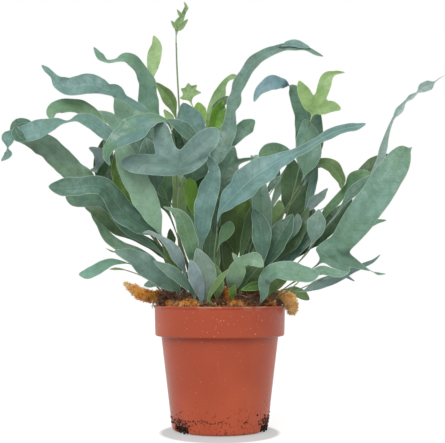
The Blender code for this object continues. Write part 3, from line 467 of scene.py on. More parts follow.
class Leaf(Enum):
    """The leaves' finishes: dark ones with painted shade for inner leaves, up to young shoots."""

    BLUE = LeafFinish("frond_blue", (0.132, 0.272, 0.242), (0.11, 0.242, 0.19))
    MIST = LeafFinish("frond_blue", (0.29, 0.42, 0.39), (0.26, 0.39, 0.33), (0.5, 0.6, 0.52))
    # TWIST's dark underside tint is painted shade.
    TWIST = LeafFinish("frond_blue", (0.138, 0.285, 0.255), (0.115, 0.25, 0.2),
                       tint=(0.06, 0.13, 0.08), share=0.8)
    SKY = LeafFinish("frond_sky", (0.132, 0.272, 0.265), (0.112, 0.24, 0.205), rough=0.4, rib=0.35)
    GLOSSY = LeafFinish("frond_sky", (0.095, 0.21, 0.216), (0.1, 0.24, 0.115), rough=0.24)
    GREY = LeafFinish("frond_grey", (0.15, 0.26, 0.208), (0.135, 0.25, 0.165))
    ASH = LeafFinish("frond_grey", (0.185, 0.268, 0.215), (0.165, 0.258, 0.175))
    BLUISH = LeafFinish("frond_grey", (0.16, 0.278, 0.255), (0.14, 0.26, 0.21))
    LILAC = LeafFinish("frond_grey", (0.195, 0.278, 0.275), (0.175, 0.275, 0.24))
    HAZE = LeafFinish("frond_grey", (0.24, 0.32, 0.345), (0.2, 0.3, 0.29))
    SLATE = LeafFinish("frond_grey", (0.2, 0.32, 0.32), (0.18, 0.3, 0.26))
    DUSTY = LeafFinish("frond_grey", (0.15, 0.265, 0.18), (0.125, 0.232, 0.122))
    # DARK, SHADE, DEEP, NIGHT and FOREST hold painted shade for leaves deep in the plant.
    DARK = LeafFinish("frond_dark", (0.075, 0.178, 0.128), (0.072, 0.165, 0.098))
    SHADE = LeafFinish("frond_dark", (0.06, 0.145, 0.09), (0.055, 0.132, 0.07), wax=0.15)
    TEAL = LeafFinish("frond_dark", (0.125, 0.26, 0.225), (0.12, 0.245, 0.17))
    SPOTTED = LeafFinish("frond_dark", (0.145, 0.275, 0.225), (0.13, 0.25, 0.18), spots=True,
                         tint=(0.19, 0.34, 0.33), share=0.8)
    # TWO_TONE's dark underside tint is painted shade.
    TWO_TONE = LeafFinish("frond_dark", (0.165, 0.31, 0.345), (0.145, 0.29, 0.3),
                          tint=(0.1, 0.205, 0.12), share=0.9, wax=0.15)
    # DEEP, NIGHT and FOREST, like DARK and SHADE, hold painted shade in the leaf colour.
    DEEP = LeafFinish("frond_deep", (0.06, 0.13, 0.035), (0.04, 0.095, 0.03), (0.2, 0.32, 0.12),
                      wax=0.0)
    NIGHT = LeafFinish("frond_deep", (0.008, 0.062, 0.014), (0.01, 0.05, 0.01), (0.12, 0.24, 0.1),
                       wax=0.0, tint=(0.02, 0.085, 0.02))
    FERN = LeafFinish("frond_green", (0.098, 0.212, 0.112), (0.1, 0.215, 0.08), wax=0.15)
    FOREST = LeafFinish("frond_deep", (0.065, 0.135, 0.055), (0.055, 0.125, 0.035),
                        (0.22, 0.36, 0.18), wax=0.05)
    MOSS = LeafFinish("frond_deep", (0.062, 0.15, 0.002), (0.03, 0.07, 0.006), (0.28, 0.4, 0.12),
                      wax=0.0)
    GREEN = LeafFinish("frond_green", (0.12, 0.265, 0.135), (0.125, 0.27, 0.09), wax=0.15)
    WILLOW = LeafFinish("frond_mint", (0.2, 0.34, 0.215), (0.18, 0.325, 0.165))
    # Paler than the leaves are: painted light for leaves that lie in shade.
    MILKY = LeafFinish("frond_mint", (0.34, 0.57, 0.42), (0.3, 0.52, 0.35))
    AQUA = LeafFinish("frond_mint", (0.21, 0.43, 0.33), (0.19, 0.4, 0.27))
    MINT = LeafFinish("frond_mint", (0.17, 0.335, 0.24), (0.15, 0.312, 0.175))
    FRESH = LeafFinish("frond_mint", (0.155, 0.31, 0.14), (0.165, 0.32, 0.19), (0.4, 0.52, 0.34),
                       wax=0.15)
    PALE = LeafFinish("frond_pale", (0.268, 0.462, 0.308), (0.236, 0.42, 0.258))
    SEA = LeafFinish("frond_pale", (0.152, 0.3, 0.215), (0.132, 0.268, 0.165))
    LIGHT = LeafFinish("frond_pale", (0.23, 0.38, 0.3), (0.2, 0.35, 0.24))
    SPRING = LeafFinish("frond_pale", (0.275, 0.44, 0.2), (0.23, 0.4, 0.15), (0.45, 0.58, 0.3),
                        wax=0.0)
    OLIVE = LeafFinish("frond_olive", (0.11, 0.19, 0.045), (0.085, 0.165, 0.04), (0.28, 0.4, 0.14),
                       wax=0.0)
    SAGE = LeafFinish("frond_olive", (0.31, 0.46, 0.215), (0.27, 0.43, 0.16), (0.45, 0.55, 0.32),
                      wax=0.1)
    FOLDED = LeafFinish("frond_olive", (0.15, 0.265, 0.07), (0.125, 0.235, 0.075),
                        (0.36, 0.46, 0.26), wax=0.0)
    BRIGHT = LeafFinish("frond_olive", (0.15, 0.35, 0.015), (0.11, 0.29, 0.012), (0.34, 0.5, 0.1),
                        wax=0.0)
    YOUNG = LeafFinish("frond_young", (0.3, 0.475, 0.19), (0.245, 0.42, 0.12), (0.5, 0.62, 0.3),
                       wax=0.1)
    TENDER = LeafFinish("frond_young", (0.38, 0.57, 0.26), (0.32, 0.51, 0.19), (0.5, 0.62, 0.3),
                        wax=0.1)
    VIVID = LeafFinish("frond_young", (0.036, 0.125, 0.001), (0.035, 0.11, 0.001), (0.34, 0.5, 0.1),
                       wax=0.0)
    LIME = LeafFinish("frond_young", (0.24, 0.42, 0.07), (0.19, 0.37, 0.05), (0.42, 0.55, 0.2),
                      wax=0.0)
    SPROUT = LeafFinish("frond_young", (0.285, 0.45, 0.19), (0.235, 0.39, 0.145),
                        (0.36, 0.46, 0.24), wax=0.0)


@dataclass(frozen=True)
class StalkFinish:
    """Thin stalks and midribs: brownish at the foot, fresh green above."""

    foot: tuple[Colour, Colour] = ((0.055, 0.040, 0.025), (0.120, 0.090, 0.055))
    green: tuple[Colour, Colour] = ((0.130, 0.200, 0.085), (0.210, 0.300, 0.140))

    GRAIN = 500
    RELIEF = 0.0002

    def material(self) -> bpy.types.Material:
        """The material of every stalk."""
        recipe = Recipe("stalk", 0.45)
        _, _, along, _ = recipe.marks()
        grain = recipe.speckle(self.GRAIN, 3)
        foot, green = (recipe.mix(grain, *pair) for pair in (self.foot, self.green))
        colour = recipe.mix(recipe.ramp(along, 0.10, 0.70), foot, green)
        return recipe.finish(colour, None, grain, self.RELIEF)


# ---- curves through stations ---------------------------------------------------------------

def distances(stations: Sequence[Point]) -> list[float]:
    """How far each station lies from the first, in straight steps."""
    places = [Vector(station[:3]) for station in stations]
    steps = [(b - a).length for a, b in zip(places, places[1:])]
    return list(accumulate(steps, initial=0.0))


class Track:
    """A number that changes smoothly from knot to knot."""

    STEEPEST = 3              # times the gentler step beside a knot, so that no peak is passed

    def __init__(self, knots: Sequence[float], values: Sequence[float], keep_peaks: bool) -> None:
        """Works out the slopes.

        Args:
            knots: increasing distances.
            values: the number at each knot.
            keep_peaks: True if nothing may overshoot between knots.
        """
        self.knots, self.values = list(knots), list(values)
        steps = [(b - a) / (k - j) for a, b, j, k in zip(values, values[1:], knots, knots[1:])]
        self.slopes = [steps[0]]
        for index in range(1, len(values) - 1):
            before, after = steps[index - 1], steps[index]
            left = knots[index] - knots[index - 1]
            right = knots[index + 1] - knots[index]
            slope = (before * right + after * left) / (left + right)
            if keep_peaks:
                gentler = min(abs(before), abs(after)) if before * after > 0 else 0.0
                limit = self.STEEPEST * gentler
                slope = max(-limit, min(limit, slope))
            self.slopes.append(slope)
        self.slopes.append(steps[-1])

    def at(self, distance: float) -> float:
        """The number at a distance, held at either end: a cubic that meets both slopes."""
        distance = max(self.knots[0], min(self.knots[-1], distance))
        index = max(0, min(len(self.knots) - 2, bisect_right(self.knots, distance) - 1))
        span = self.knots[index + 1] - self.knots[index]
        t = (distance - self.knots[index]) / span
        a, b = self.values[index], self.values[index + 1]
        m, n = self.slopes[index] * span, self.slopes[index + 1] * span
        return a + t * (m + t * (3 * (b - a) - 2 * m - n + t * (2 * (a - b) + m + n)))


class Route:
    """The middle line of a leaf or lobe, with its width and roll."""

    TAPER = 1.3               # length over which a blade opens from its stalk
    OPENING = 0.8             # the most of the step before it that this takes up
    BLUNTNESS = 0.62          # below 1 a tip is round, at 1 it is a straight point
    NEAR = 0.15               # distance on either side that gives a direction

    def __init__(self, stations: Sequence[Point]) -> None:
        """Sets the tracks up.

        Args:
            stations: (x, y, z), then the width and the roll in degrees where they aren't 0.
        """
        full = [tuple(station) + (0.0,) * (5 - len(station)) for station in stations]
        knots = distances(full)
        self.length, self.last = knots[-1], knots[-2]
        self.tracks = [Track(knots, column, False) for column in list(zip(*full))[:3]]
        self.rolls = Track(knots, [station[4] for station in full], True)
        first = next(index for index, station in enumerate(full) if station[3] > 0)
        opened, widths = knots[first:], [station[3] for station in full[first:]]
        self.start = 0.0
        if first:
            step = opened[0] - knots[first - 1]
            self.start = opened[0] - min(self.TAPER, self.OPENING * step)
            opened, widths = [self.start, *opened], [0.0, *widths]
        self.widths = Track(opened, widths, True)

    def place(self, distance: float) -> Vector:
        """The middle line's point at a distance from its start."""
        return Vector([track.at(distance) for track in self.tracks])

    def along(self, distance: float) -> Vector:
        """Its direction there."""
        low, high = max(0.0, distance - self.NEAR), min(self.length, distance + self.NEAR)
        return (self.place(high) - self.place(low)).normalized()

    def half(self, distance: float) -> float:
        """Half the width there, with a blunt tip after the last station but one."""
        if distance <= self.last:
            return max(0.0, self.widths.at(distance)) / 2
        left = (self.length - distance) / (self.length - self.last)
        return self.widths.at(self.last) / 2 * max(0.0, left) ** self.BLUNTNESS

    def normal(self, distance: float, face: Vector) -> Vector:
        """The direction that the upper side faces there.

        Args:
            distance: along the route.
            face: the side that the leaf is turned to.

        Returns:
            A unit vector square to the route.
        """
        along = self.along(distance)
        flat = (face - face.dot(along) * along).normalized()
        return Matrix.Rotation(radians(self.rolls.at(distance)), 3, along) @ flat


# ---- the growing medium's top --------------------------------------------------------------

GAP = 0.03                 # between the growing medium and what stands or lies on it
SOIL_TOP = [(5.72, 10.75), (5.2, 11.25), (4.4, 11.75), (3.0, 12.15), (0.0, 12.45)]


def soil_height(radius: float) -> float:
    """The growing medium's height at a distance from the pot's axis, from SOIL_TOP's section."""
    for (outer, low), (inner, high) in zip(SOIL_TOP, SOIL_TOP[1:]):
        if inner <= radius <= outer:
            return high + (low - high) * (radius - inner) / (outer - inner)
    return SOIL_TOP[0][1]


# ---- leaves --------------------------------------------------------------------------------

@dataclass
class Frond:
    """One leaf: a thin stalk from the growing medium and a blade that folds at its midrib."""

    name: str
    leaf: Leaf
    face: Point
    foot: Point
    route: list[Point]
    lobes: Sequence[list[Point]] = ()
    fold: float = 0.14        # how far the blade rises from its midrib, per half width
    ripple: float = 1.0       # how strongly its edges wave
    stout: float = 1.0        # scale of its stalk's thickness

    COLUMNS = 12              # cells across a blade
    ROW = 0.17                # length of a blade's cell
    FEWEST_ROWS = 14
    EASE = 0.3                # how much closer together the rows lie at both ends
    THICKNESS = 0.034
    WAVE = 0.20               # height of an edge's wave, per half width
    WAVE_LENGTH = 2.3
    UNEVEN = 0.13             # how far its width strays, as a share
    CLIMB = 0.6               # how far a side vein climbs per centimetre off the midrib
    CLEAR = 0.12              # how much nearer the axis its foot's height is taken
    SUNK = 0.5                # how deep the stalk's foot stands in the growing medium
    STALK_RADII = (0.070, 0.048, 0.010)   # at the foot, at the blade's start and at its tip
    STALK_SIDES = 6
    STALK_ROW = 0.35          # length of a stalk's cell
    STALK_ROWS = 12           # the fewest of them
    STALK_RUN = 0.3           # how far the stalk's look runs on along the midrib
    FLUSH = 0.55              # how far a midrib lies back in its blade, as a share of its radius
    STALK_SLOT = 2            # after the upper side's and the underside's

    def build(self, stalk: bpy.types.Material, *nodes: str) -> None:
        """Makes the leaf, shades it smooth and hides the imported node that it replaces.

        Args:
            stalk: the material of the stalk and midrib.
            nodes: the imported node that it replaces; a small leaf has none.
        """
        self.seed = Random(self.name).uniform(0, 50)
        self.facing = Vector(self.face).normalized()
        height = soil_height(max(0.0, hypot(*self.foot) - self.CLEAR)) + GAP - self.SUNK
        self.line = Route([(*self.foot, height), *self.route])
        finish, tone = self.leaf.value, self.leaf.name.lower()
        materials = finish.upper(tone), finish.under(tone), stalk
        blade, *others = self.blades()
        blade.join(others).dress(*materials).apply(
            "SOLIDIFY", thickness=self.THICKNESS * CM, offset=0.0, material_offset=1,
            use_even_offset=False)
        blade.join([rib.dress(*materials) for rib in self.ribs()])
        blade.hand_in(finish.slot, *nodes)

    def blades(self) -> list[Shape]:
        """The blade as a strip along the route, and its lobes as strips too."""
        strips = [self.strip(f"leaf_{self.name}", self.line)]
        return strips + [self.strip("lobe", Route(lobe)) for lobe in self.lobes]

    def ribs(self) -> list[Shape]:
        """The stalk and the midribs."""
        return [self.tube(self.line)] + [self.tube(Route(lobe)) for lobe in self.lobes]

    def wave(self, distance: float, side: float) -> float:
        """The height of an edge's wave, from about -1 to 1.

        Args:
            distance: along the route.
            side: -1 for one edge, 1 for the other.

        Returns:
            A regular swing with noise on it, for a scale of WAVE half widths.
        """
        swing = sin(TURN * distance / self.WAVE_LENGTH + self.seed + 2.1 * side)
        return 0.5 * swing + 1.1 * noise.noise(Vector((distance * 0.7, side * 3.0, self.seed)))

    def strip(self, name: str, line: Route) -> Shape:
        """A blade along a route.

        Args:
            name: the mesh's name.
            line: the blade's middle line.

        Returns:
            The open sheet, its tip and base welded.
        """
        span = line.length - line.start
        rows = max(self.FEWEST_ROWS, ceil(span / self.ROW))
        frames = []
        for row in range(rows + 1):
            v = row / rows
            eased = (1 - self.EASE) * v + self.EASE / 2 * (1 + sin(pi * (v - 0.5)))
            distance = line.start + span * eased
            normal = line.normal(distance, self.facing)
            across = line.along(distance).cross(normal)
            frames.append((distance, line.place(distance), normal, across, line.half(distance)))

        def rule(u: float, v: float) -> tuple[Vector, Point]:
            """Where a point of the blade lies."""
            distance, middle, normal, across, half = frames[round(v * rows)]
            share = 2 * u - 1
            side = 1.0 if share > 0 else -1.0
            edge = abs(share)
            stray = noise.noise(Vector((distance * 0.9, side * 9.0, self.seed + 20)))
            uneven = 1 + self.UNEVEN * stray
            swell = self.ripple * self.WAVE * self.wave(distance, side) * min(1.0, half / 0.5)
            lift = half * (self.fold * edge + swell * edge * edge)
            place = middle + across * (share * half * uneven) + normal * lift
            rib = edge * half
            chevron = distance - self.CLIMB * rib
            return place, (rib, half - rib, (distance - line.start) / span, chevron)

        return Shape(name, rows, self.COLUMNS).lay(rule).weld()

    def tube(self, line: Route) -> Shape:
        """A stalk that runs on as the midrib.

        Args:
            line: its middle line; a lobe's has no stalk.

        Returns:
            The closed tube.
        """
        rows = max(self.STALK_ROWS, ceil(line.length / self.STALK_ROW))
        foot, neck, tip = (self.stout * radius for radius in self.STALK_RADII)

        def rule(u: float, v: float) -> tuple[Vector, Point]:
            """Where a point of the tube lies."""
            distance = line.length * v
            on_blade = max(0.0, distance - line.start) / max(0.1, line.length - line.start)
            on_stalk = min(1.0, distance / line.start) if line.start else 1.0
            radius = tip + (foot + (neck - foot) * on_stalk - tip) * (1 - on_blade) ** 2
            if v == 0.0 or v > 0.9999:        # both ends close
                radius = 0.0
            normal = line.normal(distance, self.facing)
            across = line.along(distance).cross(normal)
            angle = TURN * u
            middle = line.place(distance) - normal * (self.FLUSH * radius * min(1.0, 4 * on_blade))
            place = middle + radius * (cos(angle) * across - sin(angle) * normal)
            return place, (0.0, 1.0, on_stalk if on_blade == 0 else on_blade, distance)

        tube = Shape("stalk", rows, self.STALK_SIDES).lay(rule).weld()
        return self.paint(tube, line.start + self.STALK_RUN)

    def paint(self, tube: Shape, start: float) -> Shape:
        """Gives a tube the stalk's slot up to a distance, and the blade's from there."""
        marks = tube.mesh.color_attributes[MARK].data
        for face in tube.mesh.polygons:
            below = marks[face.vertices[0]].color[3] < start
            face.material_index = self.STALK_SLOT if below else 0
        return tube


class LobedFrond(Frond):
    """A leaf whose lobes grow out of one flat blade, with round notches between them."""

    CELLS = (0.05, 0.12)      # smallest and largest cell of the blade's grid
    SAMPLE = 0.08             # step along a lobe
    NOTCH = 9.0               # per centimetre; lower makes the notches rounder
    WELT = 5.0                # per centimetre; how sharply the depth follows the nearest lobe
    FAR = 8.0                 # the most that either of them counts
    PASSES = 4                # steps that bring outer points to the outline
    SWELL = 0.28              # height of the edge's waves
    EDGE = 0.9                # width of the waving edge
    MIDRIB_SIDES = 5
    MIDRIB_RADII = (0.035, 0.010)         # what it loses on its way, and what is left at its tip

    def blades(self) -> list[Shape]:
        """The blade as one sheet."""
        routes = [self.line] + [Route(lobe) for lobe in self.lobes]
        self.origin = self.line.place(self.line.start)
        self.up = (self.line.place(self.line.length) - self.origin).normalized()
        self.out = (self.facing - self.facing.dot(self.up) * self.up).normalized()
        self.side = self.up.cross(self.out)
        self.arms = [self.flatten(route) for route in routes]
        flat = np.vstack([arm[:, :2] for arm in self.arms])
        smallest, largest = self.CELLS
        reach = max(arm[:, 2].max() for arm in self.arms) + 2 * largest
        low, high = flat.min(0) - reach, flat.max(0) + reach
        cell = max(smallest, min(largest, float((high - low).max()) / 50))
        columns, rows = (max(2, ceil(float(n))) for n in (high - low) / cell)
        sheet = Shape(f"leaf_{self.name}", rows, columns)
        grid = np.array([(v.co.x + 0.5, v.co.y + 0.5) for v in sheet.mesh.vertices])
        spots = low + grid * (high - low)
        inside = self.margin(spots)[0] > 0
        doomed = [not inside[list(face.vertices)].any() for face in sheet.mesh.polygons]
        outside = ~inside
        for _ in range(self.PASSES):
            spots[outside] = self.to_edge(spots[outside])
        for parts in (sheet.mesh.vertices, sheet.mesh.edges):
            parts.foreach_set("select", [False] * len(parts))
        sheet.mesh.polygons.foreach_set("select", doomed)
        places, marks = self.surface(spots)
        colours = sheet.mesh.color_attributes.new(MARK, "FLOAT_COLOR", "POINT")
        colours.data.foreach_set("color", marks.ravel())
        sheet.mesh.vertices.foreach_set("co", (places * CM).ravel())
        return [self.trim(sheet)]

    @staticmethod
    def trim(sheet: Shape) -> Shape:
        """Deletes the selected faces and what they leave loose."""
        sheet.pick()
        bpy.context.tool_settings.mesh_select_mode = (False, False, True)
        bpy.ops.object.mode_set(mode="EDIT")
        bpy.ops.mesh.delete(type="FACE")
        bpy.ops.object.mode_set(mode="OBJECT")
        bpy.context.tool_settings.mesh_select_mode = (True, False, False)
        return sheet.weld()

    def flatten(self, route: Route) -> np.ndarray:
        """Rows of (across, up, half width, depth, distance) along a lobe, seen flat."""
        rows = []
        for distance in np.arange(route.start, route.length, self.SAMPLE):
            offset = route.place(float(distance)) - self.origin
            across, up, depth = (offset.dot(axis) for axis in (self.side, self.up, self.out))
            rows.append((across, up, route.half(float(distance)), depth, distance - route.start))
        return np.array(rows)

    def margin(self, spots: np.ndarray) -> tuple[np.ndarray, ...]:
        """How far spots lie inside the blade's outline.

        Args:
            spots: flat (across, up) places.

        Returns:
            Distance inside, depth, distance to the nearest midrib and distance along it.
        """
        insides, depths, ribs, alongs = [], [], [], []
        for arm in self.arms:
            aside = spots[:, None, :] - arm[None, :, :2]
            apart = np.hypot(aside[..., 0], aside[..., 1])
            best = (arm[None, :, 2] - apart).argmax(1)
            nearest = apart.argmin(1)
            index = np.arange(len(spots))
            insides.append(arm[best, 2] - apart[index, best])
            depths.append(arm[nearest, 3])
            ribs.append(apart[index, nearest])
            alongs.append(arm[nearest, 4])
        insides = np.array(insides)
        top = insides.max(0)
        below = np.clip(insides - top, -self.FAR, 0)
        weights = np.exp(self.WELT * below)
        depth = (weights * np.array(depths)).sum(0) / weights.sum(0)
        joined = top + np.log(np.exp(self.NOTCH * below).sum(0)) / self.NOTCH
        closest = np.array(ribs).argmin(0)
        along = np.array(alongs)[closest, np.arange(len(spots))]
        return joined, depth, np.array(ribs).min(0), along

    def to_edge(self, spots: np.ndarray) -> np.ndarray:
        """Moves spots towards the outline by one step."""
        if not len(spots):
            return spots
        step = 0.01
        here = self.margin(spots)[0]
        shifts = np.array(((step, 0), (0, step)))
        slope = np.column_stack([(self.margin(spots + shift)[0] - here) / step for shift in shifts])
        size = np.maximum((slope ** 2).sum(1, keepdims=True), 0.05)
        return spots - here[:, None] * slope / size

    def surface(self, spots: np.ndarray) -> tuple[np.ndarray, np.ndarray]:
        """Places and marks of flat spots on the blade."""
        inside, depth, rib, along = self.margin(spots)
        waves = np.array([noise.noise(Vector((x * 0.55, y * 0.55, self.seed))) for x, y in spots])
        edge = np.clip(1 - inside / self.EDGE, 0, 1) ** 2
        depth = depth + self.fold * rib + self.ripple * self.SWELL * waves * edge
        axes = np.array([self.side, self.up, self.out])
        places = np.array(self.origin) + np.column_stack([spots, depth]) @ axes
        share = along / max(0.1, along.max())
        chevron = along - self.CLIMB * rib
        return places, np.column_stack([rib, np.maximum(inside, 0), share, chevron])

    def ribs(self) -> list[Shape]:
        """The stalk, and midribs that lie on the blade."""
        return [self.tube(self.line)] + [self.midrib(arm) for arm in self.arms[1:]]

    def midrib(self, arm: np.ndarray) -> Shape:
        """A lobe's midrib.

        Args:
            arm: the lobe's rows from flatten.

        Returns:
            The closed thread along it.
        """
        places, _ = self.surface(arm[:, :2])
        rows = len(arm) - 1
        loss, tip = self.MIDRIB_RADII
        ups = np.gradient(places, axis=0)

        def rule(u: float, v: float) -> tuple[Vector, Point]:
            """Where a point of the thread lies."""
            row = round(v * rows)
            along = Vector(ups[row]).normalized()
            across = along.cross(self.out).normalized()
            radius = 0.0 if row in (0, rows) else loss * (1 - v) + tip
            angle = TURN * u
            ring = cos(angle) * across - sin(angle) * across.cross(along)
            return Vector(places[row]) + radius * ring, (0.0, 1.0, 1.0, 1.0)

        return self.paint(Shape("midrib", rows, self.MIDRIB_SIDES).lay(rule).weld(), 0.0)


# ---- creeping stems ------------------------------------------------------------------------

def lying(x: float, y: float, radius: float) -> Point:
    """Route point of a creeping stem that lies on the growing medium there."""
    height = soil_height(max(0.0, hypot(x, y) - radius / 2)) + radius + GAP
    return (x, y, height, radius)


@dataclass(frozen=True)
class ScaleFinish:
    """Golden papery scales, from rust at their foot to straw at the growing tip."""

    shade: Colour = (0.230, 0.075, 0.012)
    gold: Colour = (0.760, 0.310, 0.035)
    straw: Colour = (0.950, 0.740, 0.380)

    GRAIN = 900
    RELIEF = 0.0004

    @cache
    def material(self) -> bpy.types.Material:
        """The material of a creeping stem and its scales."""
        recipe = Recipe("papery_scales", 0.7, specular=0.25)
        tone, *_ = recipe.marks()
        grain = recipe.speckle(self.GRAIN, 3)
        colour = recipe.mix(recipe.ramp(tone, 0.0, 0.45), self.shade, self.gold)
        colour = recipe.mix(recipe.ramp(tone, 0.5, 1.0), colour, self.straw)
        colour = recipe.mix(recipe.ramp(grain, 0.40, 0.75, 0.0, 0.30), colour, self.shade)
        return recipe.finish(colour, None, grain, self.RELIEF)


@dataclass
class Rhizome:
    """A creeping stem: a knobbly core under papery scales."""

    name: str
    route: list[Point]        # (x, y, z, radius)
    scales: int
    paleness: Point           # tone at its start and at its end

    ROWS = 46
    SIDES = 18
    ROUND = 7.0               # lower makes both ends rounder
    KNOBS = 0.34              # share of the radius by which the core is uneven
    CORE = 0.9                # share of the radius that the bare core fills
    SHADED = 0.6              # share of the scales' tone that it has
    ROOTED = 0.84             # share of the radius at which scales are rooted
    SCALE_LENGTH = (0.12, 0.34)
    SCALE_WIDTH = (0.06, 0.17)
    NEAR = 0.1                # distance on either side that gives a direction

    def build(self, *nodes: str) -> None:
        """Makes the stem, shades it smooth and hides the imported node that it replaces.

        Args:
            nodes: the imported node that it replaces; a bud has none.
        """
        knots = distances(self.route)
        self.tracks = [Track(knots, row, index == 3) for index, row in enumerate(zip(*self.route))]
        self.length = knots[-1]
        first, last = (Vector(self.route[index][:3]) for index in (0, -1))
        self.sideways = (last - first).cross(Vector((0, 0, 1))).normalized()
        self.chance = Random(self.name)
        core = Shape(f"stem_{self.name}", self.ROWS, self.SIDES).lay(self.on_core).weld()
        core.join([self.coat()]).dress(ScaleFinish().material())
        core.hand_in("rhizome", *nodes, crease=60)

    def ring(self, distance: float, angle: float) -> tuple[Vector, Vector, Vector, float]:
        """The core at a place.

        Args:
            distance: along the route.
            angle: round it, in radians.

        Returns:
            Its middle, the outward direction, the direction along it and its radius.
        """
        middle, ahead, behind = (
            Vector([track.at(distance + shift) for track in self.tracks[:3]])
            for shift in (0.0, self.NEAR, -self.NEAR))
        along = (ahead - behind).normalized()
        side = (self.sideways - self.sideways.dot(along) * along).normalized()
        outward = cos(angle) * side - sin(angle) * along.cross(side)
        radius = self.tracks[3].at(distance)
        radius *= 1 + self.KNOBS * noise.noise(middle * 2.2 + outward * 1.3)
        return middle, outward, along, radius

    def tone(self, distance: float) -> float:
        """How pale the stem is at a distance."""
        start, end = self.paleness
        return start + (end - start) * (distance / self.length) ** 2

    def on_core(self, u: float, v: float) -> tuple[Vector, Point]:
        """Where a point of the core lies: round at both ends."""
        middle, outward, _, radius = self.ring(self.length * v, TURN * u)
        ends = min(1.0, self.ROUND * v, self.ROUND * (1 - v))
        radius *= self.CORE * max(0.0, 1 - (1 - ends) ** 2) ** 0.5
        tone = self.SHADED * self.tone(self.length * v)
        return middle + outward * radius, (tone, tone, tone, 1.0)

    def coat(self) -> Shape:
        """The scales that cover the core and point to its growing tip."""
        swarm = Swarm("scales", spike("scale"))
        for _ in range(self.scales):
            distance = self.length * self.chance.uniform(0.02, 0.99)
            middle, outward, along, radius = self.ring(distance, self.chance.uniform(0, TURN))
            lean = self.chance.uniform(0.3, 1.8)
            stray = draw(self.chance, *[(-0.5, 0.5)] * 3)
            facing = (outward + along * lean + stray).normalized()
            length = self.chance.uniform(*self.SCALE_LENGTH)
            width = self.chance.uniform(*self.SCALE_WIDTH)
            spot = middle + outward * radius * self.ROOTED + facing * length * 0.45
            size = Vector((width, width * 0.4, length))
            tone = self.tone(distance) + 0.7 * noise.noise(spot * 1.9)
            tone = max(0.0, min(1.0, tone + self.chance.uniform(-0.5, 0.5)))
            swarm.add(scattered(spot, facing, size, self.chance.uniform(0, TURN)), tone)
        return swarm.build()


# ---- growing medium and what lies in it ----------------------------------------------------

@dataclass(frozen=True)
class EarthFinish:
    """Damp peat and bark: purple-brown with lighter chips and rootlets."""

    name: str
    dark: Colour = (0.080, 0.038, 0.024)
    light: Colour = (0.400, 0.200, 0.115)

    LUMPS, GRAIN = 180, 1400
    RELIEF = 0.0008

    def material(self) -> bpy.types.Material:
        """The material, lighter where the mark's tone is high."""
        recipe = Recipe(self.name, 0.85, specular=0.3)
        tone, *_ = recipe.marks()
        lumps, grain = recipe.speckle(self.LUMPS, 5), recipe.speckle(self.GRAIN, 3)
        share = recipe.plus(recipe.times(tone, 0.7), recipe.ramp(lumps, 0.45, 0.8, 0.0, 0.4))
        colour = recipe.mix(share, self.dark, self.light)
        colour = recipe.mix(recipe.ramp(grain, 0.55, 0.75, 0.0, 0.4), colour, self.light)
        return recipe.finish(colour, None, recipe.plus(lumps, grain), self.RELIEF)


@dataclass(frozen=True)
class Wad:
    """A tangle of rootlets and chips on the mound."""

    centre: Point
    radii: Point
    fibres: int
    chips: int

    REACH = 5.75              # from the pot's axis
    EDGE = 5.7                # where the mound ends
    BURIED = 0.05             # how far under the mound's surface a piece may lie

    def spot(self, chance: Random) -> Vector:
        """A place in it, neither deep in the mound nor outside the pot."""
        while True:
            share = draw(chance, *[(-1, 1)] * 3)
            spot = Vector([c + r * s for c, r, s in zip(self.centre, self.radii, share)])
            radius = hypot(spot.x, spot.y)
            if share.length < 1 and radius < self.REACH:
                if spot.z > soil_height(min(self.EDGE, radius)) - self.BURIED:
                    return spot


